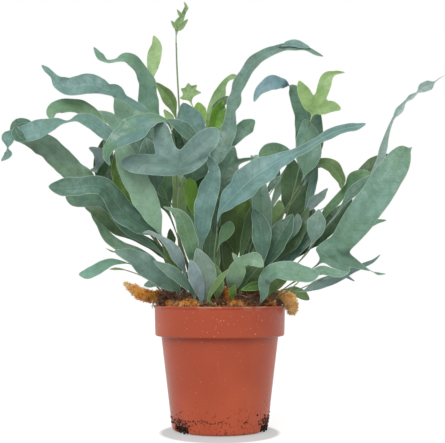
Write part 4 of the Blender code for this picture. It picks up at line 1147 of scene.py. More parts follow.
@dataclass
class GrowingMedium:
    """The filling of the pot: an uneven mound with bark chips and rootlets."""

    bottom: float = 0.15
    foot: Point = (3.84, 0.15)
    wall: Sequence[Point] = ((4.19, 0.5), (5.21, 8.65), (5.22, 8.72), (5.74, 8.72), (5.72, 10.75))
    rings: int = 40
    sides: int = 132
    lumps: float = 0.20       # height of the unevenness
    wads: Sequence[Wad] = (
        Wad((-4.6, -1.9, 12.2), (1.2, 1.3, 1.0), 420, 60),
        Wad((-3.2, -4.2, 11.8), (1.4, 1.0, 0.6), 160, 40),
        Wad((3.1, -3.9, 12.0), (1.9, 1.1, 0.9), 420, 60),
        Wad((3.2, -2.6, 13.0), (0.9, 0.8, 1.3), 160, 40),
        Wad((4.7, -2.2, 12.0), (0.8, 1.2, 0.8), 150, 30),
        Wad((0.0, 0.0, 12.4), (5.0, 5.0, 1.4), 500, 260),
        Wad((1.0, -3.6, 12.0), (3.6, 1.2, 0.9), 260, 90),
        Wad((0.0, -4.9, 11.4), (4.6, 0.7, 0.5), 260, 70),
        Wad((-5.5, -1.5, 11.6), (0.5, 1.1, 0.25), 130, 24),
        Wad((5.4, -1.7, 11.6), (0.5, 1.0, 0.25), 130, 24),
    )
    rim_scales: int = 420     # loose scales along the front of the rim
    rim: float = 5.3          # how far from the axis they lie
    stray: Sequence[Point] = ((-6.05, -1.4, 11.4), (-6.15, -0.9, 11.3), (-5.95, -1.9, 11.2))
    strays: int = 4           # rootlets that hang at each of those places

    FIBRE_WIDTH = (0.6, 1.5)
    FIBRE_LENGTH = (0.5, 1.5)
    FIBRE_RADIUS = 0.018
    CHIP_WIDTH = (0.08, 0.30)
    CHIP_LENGTH = (0.15, 0.5)
    SCALE_WIDTH = (0.06, 0.16)
    SCALE_LENGTH = (0.15, 0.40)

    def build(self) -> None:
        """Makes the mound, its chips and rootlets, shades them and hides the imported growing
        medium.
        """
        edge = self.wall[-1][0]
        steps = [edge * (1 - index / self.rings) for index in range(1, self.rings + 1)]
        profile = [(0.0, self.bottom), self.foot, *self.wall, *((radius, None) for radius in steps)]

        def rule(u: float, v: float) -> tuple[Vector, Point]:
            """Where a point of the mound lies."""
            radius, height = profile[round(v * (len(profile) - 1))]
            angle = TURN * u
            place = Vector((radius * cos(angle), radius * sin(angle), 0.0))
            if height is None:
                rough = noise.noise(place * 1.6) + 0.5 * noise.noise(place * 4.5)
                height = soil_height(radius) + self.lumps * rough * min(1.0, (edge - radius) * 2)
            place.z = height
            return place, (0.12, 0.12, 0.12, 1.0)

        mound = Shape("mound", len(profile) - 1, self.sides).lay(rule).weld()
        mound.dress(EarthFinish("damp_peat").material())
        mound.hand_in("growing_medium", "growing_medium", crease=70)
        self.litter()

    def litter(self) -> None:
        """Scatters chips, rootlets and loose scales."""
        chance = Random(11)
        chips, fibres = Swarm("bark_chips", lump()), Swarm("rootlets", self.fibre())
        for wad in self.wads:
            for count in range(wad.fibres + wad.chips):
                spot = wad.spot(chance)
                facing = draw(chance, (-1, 1), (-1, 1), (-0.5, 0.6))
                spin = chance.uniform(0, TURN)
                if count < wad.fibres:
                    width = chance.uniform(*self.FIBRE_WIDTH)
                    size = Vector((width, width, chance.uniform(*self.FIBRE_LENGTH)))
                    fibres.add(scattered(spot, facing, size, spin), chance.uniform(0.0, 1.0) ** 1.2)
                else:
                    size = draw(chance, self.CHIP_WIDTH, self.CHIP_WIDTH, self.CHIP_LENGTH)
                    chips.add(scattered(spot, facing, size, spin), chance.uniform(0.0, 0.9) ** 2)
        for place in self.stray:
            for _ in range(self.strays):
                facing = Vector((*draw(chance, (-0.5, 0.1), (-0.3, 0.3)), -1.0))
                size = Vector((0.8, 0.8, 0.5))
                fibres.add(scattered(Vector(place), facing, size, chance.uniform(0, 6)), 0.2)
        scales = self.loose_scales(chance).build().dress(ScaleFinish().material())
        scales.hand_in("rhizome", crease=60)
        bark = EarthFinish("bark", light=(0.42, 0.21, 0.13))
        chips.build().dress(bark.material()).hand_in("growing_medium", crease=20)
        rootlet = EarthFinish("rootlet", (0.085, 0.038, 0.024), (0.55, 0.32, 0.19))
        fibres.build().dress(rootlet.material()).hand_in("growing_medium")

    def loose_scales(self, chance: Random) -> Swarm:
        """Scales that have dropped along the front of the rim."""
        scales = Swarm("loose_scales", spike("loose_scale"))
        for _ in range(self.rim_scales):
            x, y = chance.uniform(-4.6, 4.6), chance.gauss(0, 0.25)
            y -= (self.rim ** 2 - x * x) ** 0.5
            spot = Vector((x, y, 0.0))
            spot.z = soil_height(hypot(spot.x, spot.y)) + chance.uniform(0.05, 0.55)
            facing = draw(chance, *[(-1, 1)] * 3)
            width, length = chance.uniform(*self.SCALE_WIDTH), chance.uniform(*self.SCALE_LENGTH)
            placing = scattered(spot, facing, Vector((width, 0.04, length)), chance.uniform(0, 6))
            scales.add(placing, chance.uniform(0.1, 1.0))
        return scales

    def fibre(self) -> bpy.types.Object:
        """One curved rootlet, 1 cm long."""
        def rule(u: float, v: float) -> tuple[Vector, Point]:
            """Where a point of the rootlet lies."""
            radius = 0.0 if v < 0.01 or v > 0.99 else self.FIBRE_RADIUS * (1 - 0.5 * v)
            bend = Vector((0.16 * sin(2.6 * v), 0.10 * sin(4.5 * v), v - 0.5))
            return (bend + radius * ray(TURN * u)) / CM, (0, 0, 0, 1)

        return Shape("rootlet", 8, 3).lay(rule).weld().piece


# ---- nursery pot ---------------------------------------------------------------------------

@dataclass(frozen=True)
class PlasticFinish:
    """Thin terracotta-coloured plastic: satin, scuffed and painted with a highlight on its collar,
    dusty at its foot.
    """

    base: Colour = (0.550, 0.104, 0.043)
    deep: Colour = (0.452, 0.077, 0.033)
    # pale is the colour of the scuffs and of the painted highlight on the rim
    pale: Colour = (0.560, 0.240, 0.160)
    fleck: Colour = (0.800, 0.480, 0.390)
    dust: Colour = (0.070, 0.028, 0.014)

    CLOUDS, GRAIN, FINE = 14, 320, 2200
    FLECKS, SCUFFS = 700, 75
    DUSTY = (0.002, 0.034)    # heights between which the dust fades out
    FLECKED = (0.06, 0.10)    # and the flecks become many
    SCUFF_AND_HIGHLIGHT_BAND = (0.108, 0.112)  # and the scuffs and the painted highlight begin
    RELIEF = 0.00012

    def material(self) -> bpy.types.Material:
        """The pot's material."""
        recipe = Recipe("terracotta_plastic", 0.36, specular=0.24)
        cloud = recipe.speckle(self.CLOUDS, 2)
        grain = recipe.speckle(self.GRAIN, 5, 0.4)
        fine = recipe.speckle(self.FINE, 2)
        colour = recipe.mix(recipe.ramp(cloud, 0.35, 0.7), self.deep, self.base)
        colour = recipe.mix(recipe.ramp(fine, 0.3, 0.8, 0.0, 0.12), colour, self.deep)
        height = recipe.height()
        low = recipe.ramp(height, *self.DUSTY, 1.0, 0.0)
        dusty = recipe.times(low, recipe.ramp(grain, 0.60, 0.68))
        colour = recipe.mix(recipe.times(dusty, 0.9), colour, self.dust)
        flecks = recipe.ramp(recipe.speckle(self.FLECKS, 2), 0.70, 0.73)
        high = recipe.ramp(height, *self.FLECKED, 0.25, 1.0)
        colour = recipe.mix(recipe.times(flecks, high), colour, self.fleck)
        # Pale patches on the rim's top: partly scuffs, partly a painted highlight along the lip.
        scuff_and_highlight_noise = recipe.ramp(recipe.speckle(self.SCUFFS, 4), 0.53, 0.60)
        scuff_and_highlight = recipe.times(scuff_and_highlight_noise, recipe.ramp(height, *self.SCUFF_AND_HIGHLIGHT_BAND, 0.0, 0.55))
        colour = recipe.mix(scuff_and_highlight, colour, self.pale)
        rough = recipe.ramp(cloud, 0.3, 0.7, 0.28, 0.40)
        rough = recipe.plus(rough, recipe.times(dusty, 0.4))
        return recipe.finish(colour, rough, recipe.plus(fine, dusty), self.RELIEF)


@dataclass
class NurseryPot:
    """Thin moulded pot: tapered body, broad collar with a lip, drainage notches and holes."""

    height: float = 11.3
    wall: float = 0.12
    rim: float = 6.05
    lip: float = 0.20         # height of the thicker lip at the rim
    collar: float = 5.9
    collar_height: float = 2.75
    body: float = 5.36
    base: float = 4.34
    foot_round: float = 0.35
    notch_width: float = 2.0
    notch_height: float = 0.7
    first_notch: float = 218.0
    hole_radius: float = 0.35
    hole_ring: float = 2.6
    sides: int = 144

    NOTCHES = 3
    HOLES = 6
    NOTCH_DEPTH = 1.4         # far enough to pass right through the wall
    NOTCH_BELOW = 1.0         # how far a notch's cutter reaches under the foot
    NOTCH_ROUND = 0.15
    HOLE_SIDES = 24
    CLUMP = 170               # crumbs in a notch
    SPRAY = 110               # crumbs above a notch
    LINE = 700                # crumbs tried for the broken line above the foot
    SCATTER = 260             # crumbs anywhere

    def corners(self) -> list[Point]:
        """The wall's section as (radius, height, rounding), out along the floor and back."""
        step, top, wall = self.height - self.collar_height, self.height, self.wall
        return [
            (0.0, 0.0, 0.0), (self.base, 0.0, self.foot_round), (self.body, step, 0.10),
            (self.collar, step, 0.16), (self.rim - 0.08, top - self.lip, 0.02),
            (self.rim, top - self.lip + 0.03, 0.02), (self.rim, top, 0.05),
            (self.rim - wall, top, 0.05), (self.collar - wall, step + wall, 0.10),
            (self.body - wall, step + wall, 0.08), (self.base - wall, wall, 0.30),
            (0.0, wall, 0.0),
        ]

    def profile(self) -> list[Vector]:
        """The section with its corners rounded."""
        corners = self.corners()
        points = []
        for index, (radius, height, rounding) in enumerate(corners):
            here = Vector((radius, height))
            if rounding == 0:
                points.append(here)
                continue
            back, ahead = (
                (Vector(corners[index + step][:2]) - here).normalized() for step in (-1, 1))
            half_angle = back.angle(ahead) / 2
            centre = here + (back + ahead).normalized() * (rounding / sin(half_angle))
            first, last = (
                here + side * (rounding / tan(half_angle)) - centre for side in (back, ahead))
            for share in (0.0, 0.25, 0.5, 0.75, 1.0):
                points.append(centre + first.slerp(last, share) * rounding)
        return points

    def build(self) -> None:
        """Makes the pot and its dirt, shades them and hides the imported pot."""
        profile = self.profile()
        last = len(profile) - 1

        def rule(u: float, v: float) -> tuple[Vector, Point]:
            """Where a point of the wall lies."""
            radius, height = profile[round(v * last)]
            angle = TURN * u
            return Vector((radius * cos(angle), radius * sin(angle), height)), (0, 0, 0, 1)

        pot = Shape("nursery_pot", last, self.sides).lay(rule).weld()
        for angle in self.round_about(self.NOTCHES):
            self.cut(pot, self.notch(radians(angle)))
        for angle in self.round_about(self.HOLES):
            self.cut(pot, self.hole(radians(angle + 180 / self.HOLES)))
        pot.dress(PlasticFinish().material()).hand_in("pot_plastic", "pot", crease=40)
        self.dirt()

    def round_about(self, count: int) -> list[float]:
        """Evenly spaced angles in degrees, from the first notch's."""
        return [self.first_notch + 360 // count * index for index in range(count)]

    @staticmethod
    def cut(pot: Shape, cutter: bpy.types.Object) -> None:
        """Takes a cutter's shape out of the pot."""
        pot.apply("BOOLEAN", object=cutter, operation="DIFFERENCE", solver="EXACT")
        bpy.data.objects.remove(cutter, do_unlink=True)

    def notch(self, angle: float) -> bpy.types.Object:
        """The cutter of a drainage notch, with round upper corners."""
        below = self.NOTCH_BELOW
        size = (self.NOTCH_DEPTH, self.notch_width, self.notch_height + below, 1.0)
        cutter = added(bpy.ops.mesh.primitive_cube_add, size=CM)
        bevel = cutter.modifiers.new("Rounding", "BEVEL")
        cutter.data.transform(Matrix.Diagonal(size))
        bevel.width, bevel.segments = self.NOTCH_ROUND * CM, 3
        bpy.ops.object.modifier_apply(modifier=bevel.name)
        place = ray(angle) * (self.base + 0.1) + Vector((0, 0, (self.notch_height - below) / 2))
        cutter.data.transform(Matrix.Translation(place * CM) @ Matrix.Rotation(angle, 4, "Z"))
        return cutter

    def hole(self, angle: float) -> bpy.types.Object:
        """The cutter of a hole in the floor."""
        cutter = added(bpy.ops.mesh.primitive_cylinder_add, vertices=self.HOLE_SIDES,
                       radius=self.hole_radius * CM, depth=CM)
        cutter.data.transform(Matrix.Translation(ray(angle) * self.hole_ring * CM))
        return cutter

    def outside(self, height: float) -> float:
        """Radius of the outside of the body at a height."""
        top = self.height - self.collar_height
        return self.base + (self.body - self.base) * max(0.0, height) / top

    def dirt(self) -> None:
        """Crumbs of peat: clumps in the notches, a broken line above the foot, a few higher up."""
        chance = Random(5)
        crumbs = Swarm("crumbs_of_peat", lump())

        def crumb(degrees: float, height: float, size: float, sunk: float = 0.0) -> None:
            """Adds a crumb on the pot's outside."""
            out = ray(radians(degrees))
            spot = out * (self.outside(height) - sunk) + Vector((0, 0, height))
            wide, deep = (size * chance.uniform(0.6, 1.4) for _ in range(2))
            placing = scattered(spot, out, Vector((wide, deep, size * 0.7)), chance.uniform(0, 6))
            crumbs.add(placing, chance.uniform(0.0, 0.5))

        for middle in self.round_about(self.NOTCHES):
            for _ in range(self.CLUMP):
                crumb(middle + chance.uniform(-14, 14), chance.uniform(0.12, 0.80),
                      chance.uniform(0.08, 0.30), chance.uniform(0.02, 0.6))
            for _ in range(self.SPRAY):
                crumb(middle + chance.gauss(0, 11), 0.75 + abs(chance.gauss(0, 0.35)),
                      chance.uniform(0.05, 0.20))
        for _ in range(self.LINE):
            degrees = chance.uniform(0, 360)
            wander = noise.noise(Vector((degrees * 0.05, 3.0, 0.0)))
            if wander > -0.05:
                height = chance.gauss(1.15 + 0.5 * wander, 0.05)
                crumb(degrees, height, chance.uniform(0.03, 0.11))
        for _ in range(self.SCATTER):
            degrees, height = chance.uniform(0, 360), 0.3 + abs(chance.gauss(0, 1.2))
            crumb(degrees, height, chance.uniform(0.03, 0.10))
        peat = EarthFinish("peat_crumb", (0.022, 0.008, 0.004), (0.11, 0.045, 0.024))
        crumbs.build().dress(peat.material()).hand_in("growing_medium", crease=20)


# ---- studio --------------------------------------------------------------------------------

@dataclass
class Studio:
    """A pale floor, soft white light all round, one large lamp, and the camera, in metres."""

    distance: float = 0.85
    height: float = 0.13
    focal_length: float = 74.8                # millimetres, as is the sensor's width
    sensor: float = 36.0
    tilt: float = 2.2         # degrees above level
    rise: float = 0.067       # the frame's shift, as a share of its width
    sway: float = 0.006
    floor_side: float = 60.0
    floor_drop: float = 0.0002
    low_light: float = 0.38   # the surroundings' light from below
    high_light: float = 1.12  # and from above
    light_span: Point = (-0.6, 0.9)           # how steep a direction has the one and the other
    # floor_glow is the floor's even glow; floor_shade is the dimmer glow of the painted shadow
    # under the pot.
    floor_glow: float = 0.80
    floor_shade: float = 0.38
    floor_greys: Point = (0.24, 0.26)
    shade: Point = (0.056, 0.062, -0.016)     # the painted shadow under the pot: half width, depth, middle
    lamp: float = 21.0        # watts
    lamp_size: float = 1.3
    lamp_place: Point = (-0.5, -1.8, 1.5)
    lamp_aim: Point = (0.0, 0.0, 0.2)

    def build(self) -> None:
        """Makes the floor, the light and the camera."""
        self.make_floor()
        self.make_light()
        self.make_camera()

    def make_floor(self) -> None:
        """A wide matt floor just under the pot, glowing evenly but for a painted shadow beneath it.
        """
        side, drop = self.floor_side / CM, self.floor_drop / CM
        floor = Shape("floor", 1, 1)
        floor.lay(lambda u, v: (Vector(((u - 0.5) * side, (v - 0.5) * side, -drop)), (0, 0, 0, 1)))
        recipe = Recipe("pale_floor", 1.0, specular=0.0)
        wide, deep, middle = self.shade
        scaled = recipe.node("ShaderNodeVectorMath", operation="MULTIPLY_ADD")
        recipe.feed(scaled.inputs[0], recipe.place)
        scaled.inputs[1].default_value = (1 / wide, 1 / deep, 0)
        scaled.inputs[2].default_value = (0, -middle / deep, 0)
        reach = recipe.node("ShaderNodeVectorMath", operation="LENGTH")
        recipe.feed(reach.inputs[0], scaled.outputs["Vector"])
        # Inside the ellipse the glow falls to floor_shade: a painted shadow under the pot.
        glow_with_painted_shadow = recipe.ramp(reach.outputs["Value"], 0.90, 1.0, self.floor_shade, self.floor_glow)
        recipe.feed(recipe.shader.inputs["Emission Color"], (1, 1, 1))
        recipe.feed(recipe.shader.inputs["Emission Strength"], glow_with_painted_shadow)
        paper = recipe.mix(recipe.speckle(40, 2), *((grey,) * 3 for grey in self.floor_greys))
        floor.dress(recipe.finish(paper))
        floor.piece.visible_diffuse = False

    def make_light(self) -> None:
        """White surroundings, brighter above than below, and a soft lamp from the front left."""
        world = bpy.data.worlds.new("white_studio")
        world.use_nodes = True
        tree = world.node_tree
        ground = tree.nodes["Background"]
        ground.inputs["Strength"].default_value = 1.0
        place, height, light, path, seen = (
            tree.nodes.new(f"ShaderNode{kind}")
            for kind in ("TexCoord", "SeparateXYZ", "MapRange", "LightPath", "Mix"))
        for index, number in enumerate((*self.light_span, self.low_light, self.high_light), 1):
            light.inputs[index].default_value = number
        seen.inputs[3].default_value = 1.0
        for source, target in (
                (place.outputs["Generated"], height.inputs[0]),
                (height.outputs[2], light.inputs[0]),
                (path.outputs["Is Camera Ray"], seen.inputs[0]),
                (light.outputs[0], seen.inputs[2]),
                (seen.outputs[0], ground.inputs["Color"])):
            tree.links.new(source, target)
        bpy.context.scene.world = world
        lamp = added(bpy.ops.object.light_add, type="AREA", location=self.lamp_place)
        lamp.data.shape, lamp.data.size, lamp.data.energy = "DISK", self.lamp_size, self.lamp
        aim = Vector(self.lamp_aim) - lamp.location
        lamp.rotation_euler = aim.to_track_quat("-Z", "Y").to_euler()

    def make_camera(self) -> None:
        """A camera in front, a little above the pot's rim."""
        camera = added(bpy.ops.object.camera_add, location=(0, -self.distance, self.height),
                       rotation=(radians(90 + self.tilt), 0, 0))
        camera.data.lens, camera.data.sensor_width = self.focal_length, self.sensor
        camera.data.shift_x, camera.data.shift_y = self.sway, self.rise
        bpy.context.scene.camera = camera
        bpy.context.scene.view_settings.view_transform = "Standard"


# ---- the plant's own leaves and stems ------------------------------------------------------
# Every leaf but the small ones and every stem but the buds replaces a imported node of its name.

FRONT = (0.0, -1.0, 0.2)
SKY = (0.0, -0.95, 0.4)
LEANING = (-0.35, -0.9, 0.3)
BACK = (0.0, -0.15, 1.0)

LEFT_FRONDS = [
    Frond("upper_left_arch", Leaf.MINT, (0.35, -1, 0.1), (-1, 2.7), [
        (-3.1, 3, 18), (-5.6, 4, 26.2, 0.4), (-6.6, 4.2, 28.7, 1.9), (-7, 4.2, 31.1, 2),
        (-7.2, 3.8, 33, 1.8, 10), (-7.9, 3, 34.1, 1.6, 15), (-8.9, 2, 34.65, 1.2, 10),
        (-9.8, 1.4, 34.3, 0.55, 40), (-10.6, 1, 34.15, 0.5, 30), (-11.2, 0.8, 34.55, 0.75),
        (-11.8, 0.6, 35.4)], ripple=0.9),
    Frond("wavy_upper_left", Leaf.BLUE, (0, -1, 0.3), (-2.1, 1.2), [
        (-3.3, 1.5, 17.9), (-5.5, 2.4, 27.9), (-6.8, 2.4, 29.5, 0.4), (-7.9, 2.3, 30.2, 0.9, 10),
        (-9, 2.1, 30.8, 0.8, 20), (-9.9, 2, 31.5, 1.6, 5), (-10.6, 1.9, 31.6, 1.2),
        (-11.3, 1.9, 31.9, 1.6), (-12.3, 1.8, 32.1, 2.2), (-13.4, 1.8, 32, 1.9),
        (-14.4, 1.8, 31.9, 1.8), (-15.2, 1.8, 32.3, 1.3), (-15.8, 1.8, 33, 0.6),
        (-16.4, 1.8, 33.55, 0.55), (-16.9, 1.8, 34)], ripple=1.3),
    Frond("pale_behind_wavy", Leaf.MILKY, (0.3, -1, 0.3), (-1.8, 2.6), [
        (-3.5, 3.1, 18), (-6.1, 4, 24.3), (-7.2, 4.4, 26.8, 0.4), (-8.3, 4.8, 28.5, 2.3),
        (-9.1, 4.8, 29.9, 2.6), (-9.7, 4.6, 31.2, 1.6), (-10.1, 4.6, 32)]),
    Frond("green_arch_left", Leaf.FRESH, (0, -1, 0.3), (-2.9, 1.5), [
        (-5.8, 1.9, 17.9), (-8, 2.6, 23.6), (-9.1, 2.8, 26.2), (-10.5, 2.9, 27.4, 0.4),
        (-11.3, 3, 28.4, 1.1), (-12.3, 3, 29.5, 1.4), (-13.4, 3, 30.2, 1.5),
        (-14.6, 2.8, 30.3, 1.5), (-15.5, 2.4, 30, 1.5), (-15.9, 1.9, 29.4, 1), (-15.8, 1.5, 28.7)]),
    Frond("long_left_twisted", Leaf.TWIST, SKY, (-3, 0.3), [
        (-6.1, 0.3, 17.8), (-7.9, -0.2, 22.8), (-8.9, -0.6, 25.3, 0.3), (-9.7, -0.9, 26.3, 0.9),
        (-10.7, -1.1, 27.3, 1.4), (-11.7, -1.2, 28, 1.4), (-12.8, -1.3, 28.3, 1.1, 10),
        (-13.8, -1.4, 28, 0.5, 35), (-14.8, -1.6, 27.9, 1.1, 10), (-15.8, -1.8, 27.45, 1.7),
        (-16.8, -2.1, 27, 1.85), (-17.7, -2.4, 26.7, 1.6, -10), (-18.5, -2.7, 26.6, 0.9, -10),
        (-18.85, -2.9, 26.3, 1.35), (-18.85, -3, 25.8, 0.85), (-18.9, -3, 25.35, 0.2, 40),
        (-18.85, -3, 24.85, 0.75), (-19.5, -3, 24.2)], lobes=[
        [(-16.9, -1.7, 27.5, 0.3, 180), (-17.6, -1.5, 27.9, 0.9, 180),
         (-18.3, -1.5, 27.7, 1.4, 180), (-18.4, -1.6, 27, 1.4, 180), (-18.1, -1.7, 26.5, 1, 180),
         (-17.6, -1.8, 26.2, 0, 180)],
        [(-18.3, -2.6, 27.35, 0.3, 180), (-18.15, -2.95, 26.8, 1, 180),
         (-17.8, -3.15, 26.3, 1.1, 180), (-17.2, -3.15, 25.95, 0.3, 180)]]),
    Frond("broad_left", Leaf.DUSTY, (0.3, -0.9, 0.4), (-3.7, 1), [
        (-6.3, 1.2, 17.6), (-8.6, 1.3, 19.9), (-10, 1.3, 20.9, 0.5), (-11.3, 1.2, 21.7, 1.8),
        (-12.4, 1.1, 22.5, 2.4), (-13.5, 0.9, 23.5, 2.5), (-14.7, 0.8, 24.7, 2.4),
        (-15.8, 0.6, 25.7, 2.5), (-16.8, 0.4, 26.3, 2.2), (-17.9, 0.2, 26.6, 1.3),
        (-19.1, 0.2, 26.8)]),
    Frond("mid_left_dark", Leaf.DARK, (0.2, -1, 0.35), (-2.9, -2.1), [
        (-5, -2.7, 17.2, 0.2), (-6, -2.9, 18, 1.1), (-7.1, -3.2, 18.5, 1.9),
        (-8.15, -3.6, 19.2, 2.2), (-8.95, -3.9, 20.15, 2.1), (-9.55, -4.3, 21.05, 1.9),
        (-10.2, -4.7, 21.7, 1.7), (-11.3, -5.1, 21.8, 1.7), (-12.5, -5.4, 21.6, 1.8),
        (-13.7, -5.7, 21.5, 1.6), (-14.7, -6, 21.6)]),
    Frond("mid_left_lower", Leaf.SEA, SKY, (-3.7, -1.2), [
        (-5.4, -1.3, 16.1, 0.2), (-6.4, -1.4, 16.9, 0.6), (-7.6, -1.7, 17.6, 0.8),
        (-8.5, -1.9, 18.3, 0.95), (-9.2, -2.1, 19.2, 1.05), (-9.7, -2.3, 20, 1.1),
        (-10.3, -2.5, 20.5, 1.2), (-11.1, -2.7, 20.7, 1.3), (-12.1, -3, 20.6, 1.4),
        (-13, -3.2, 20.7, 1.2), (-13.7, -3.2, 21.1)]),
    Frond("low_left_green", Leaf.PALE, SKY, (-4.5, -0.3), [
        (-5.6, -0.1, 14.9, 0.3), (-6.4, 0.1, 15.55, 0.7), (-7.3, 0.3, 16, 0.95),
        (-8.3, 0.4, 16.35, 1.05), (-9.3, 0.6, 16.75, 1.1), (-10.15, 0.8, 17.35, 1),
        (-10.7, 0.9, 18, 0.85), (-11.25, 1, 18.85, 0.6), (-11.75, 1, 19.6, 0.45),
        (-12.1, 1, 20.2)]),
    Frond("low_left_broad", Leaf.GREY, SKY, (-3.4, -3.3), [
        (-3.6, -3.9, 12.7, 0.3), (-4.2, -4.5, 13.2, 1.3), (-5.1, -5.2, 13.9, 1.9),
        (-6.1, -5.9, 14.6, 2), (-7.1, -6.5, 15.3, 1.7), (-7.9, -7, 15.7, 1.1), (-8.9, -7.4, 16)]),
    Frond("small_far_left", Leaf.AQUA, (0, -1, 0.3), (-4.6, 0.8), [
        (-6.3, 1.2, 13.6), (-7.3, 1.6, 14.4), (-8.3, 1.9, 15.1), (-9.2, 2.2, 15.3, 0.3),
        (-10.2, 2.5, 15.3, 0.75), (-11.1, 2.8, 14.97, 1.1), (-11.9, 3, 14.5, 1.2),
        (-12.7, 3.2, 14.25, 1.05), (-13.5, 3.4, 14.2)]),
    LobedFrond("dark_lobed_left", Leaf.LILAC, (0.2, -1, 0.3), (-2.4, 2), [
        (-6, 2.6, 18), (-8.8, 3.8, 21.4), (-10.2, 4.4, 23.1, 0.4), (-11, 4.8, 24.4, 1.8),
        (-11.5, 4.8, 25.6, 1.5), (-12, 4.6, 26.2, 0.9), (-12.7, 4.4, 26.5)], lobes=[
        [(-10.9, 4.8, 24.3, 0.5), (-11.5, 4.7, 24.4, 0.8), (-12.7, 4.6, 24.3)],
        [(-11.1, 4.8, 24.8, 0.5), (-10.9, 4.9, 26.2, 1), (-11.3, 5, 27.4)]]),
    Frond("pale_left_front", Leaf.PALE, FRONT, (-2.2, -2.2), [
        (-4.6, -2.8, 14.9), (-5.1, -3.5, 16.9), (-5.3, -3.9, 17.9, 0.4), (-5.7, -4.2, 18.9, 1.4),
        (-6.2, -4.5, 20, 2), (-6.8, -4.8, 21.3, 2.25), (-7.5, -5, 22.7, 2.25),
        (-8.1, -5, 24.1, 1.9), (-8.6, -4.8, 25.2, 1.2), (-8.9, -4.6, 26)]),
    Frond("glossy_drooping", Leaf.GLOSSY, (-0.1, -1, 0.55), (-1.4, -1.5), [
        (-3.4, -2.2, 16.3), (-3.8, -3.6, 22.4), (-4.1, -4.6, 26.2), (-4.6, -5.4, 27.3, 0.4),
        (-5.6, -6.2, 27.4, 1.3), (-6.4, -6.9, 27, 2.1), (-7.3, -7.4, 26.2, 2.6),
        (-8.3, -7.6, 25.5, 2.1), (-9.2, -7.6, 24.8, 1.1), (-9.55, -7.5, 24, 0.6),
        (-9.25, -7.4, 23.2)], ripple=0.6),
    Frond("dark_under_trilobe", Leaf.DARK, (0, -1, 0.4), (-1.6, -0.9), [
        (-3.6, -1.5, 17.3), (-4.2, -2.3, 20.2), (-5.6, -2.9, 21.5, 0.2), (-5.8, -3.1, 22.2, 1.3),
        (-5.9, -3.3, 23.2, 2.2), (-6.1, -3.3, 24.2, 2.3), (-6.4, -3.1, 25.4, 1.4),
        (-6.6, -2.9, 26.3)]),
]

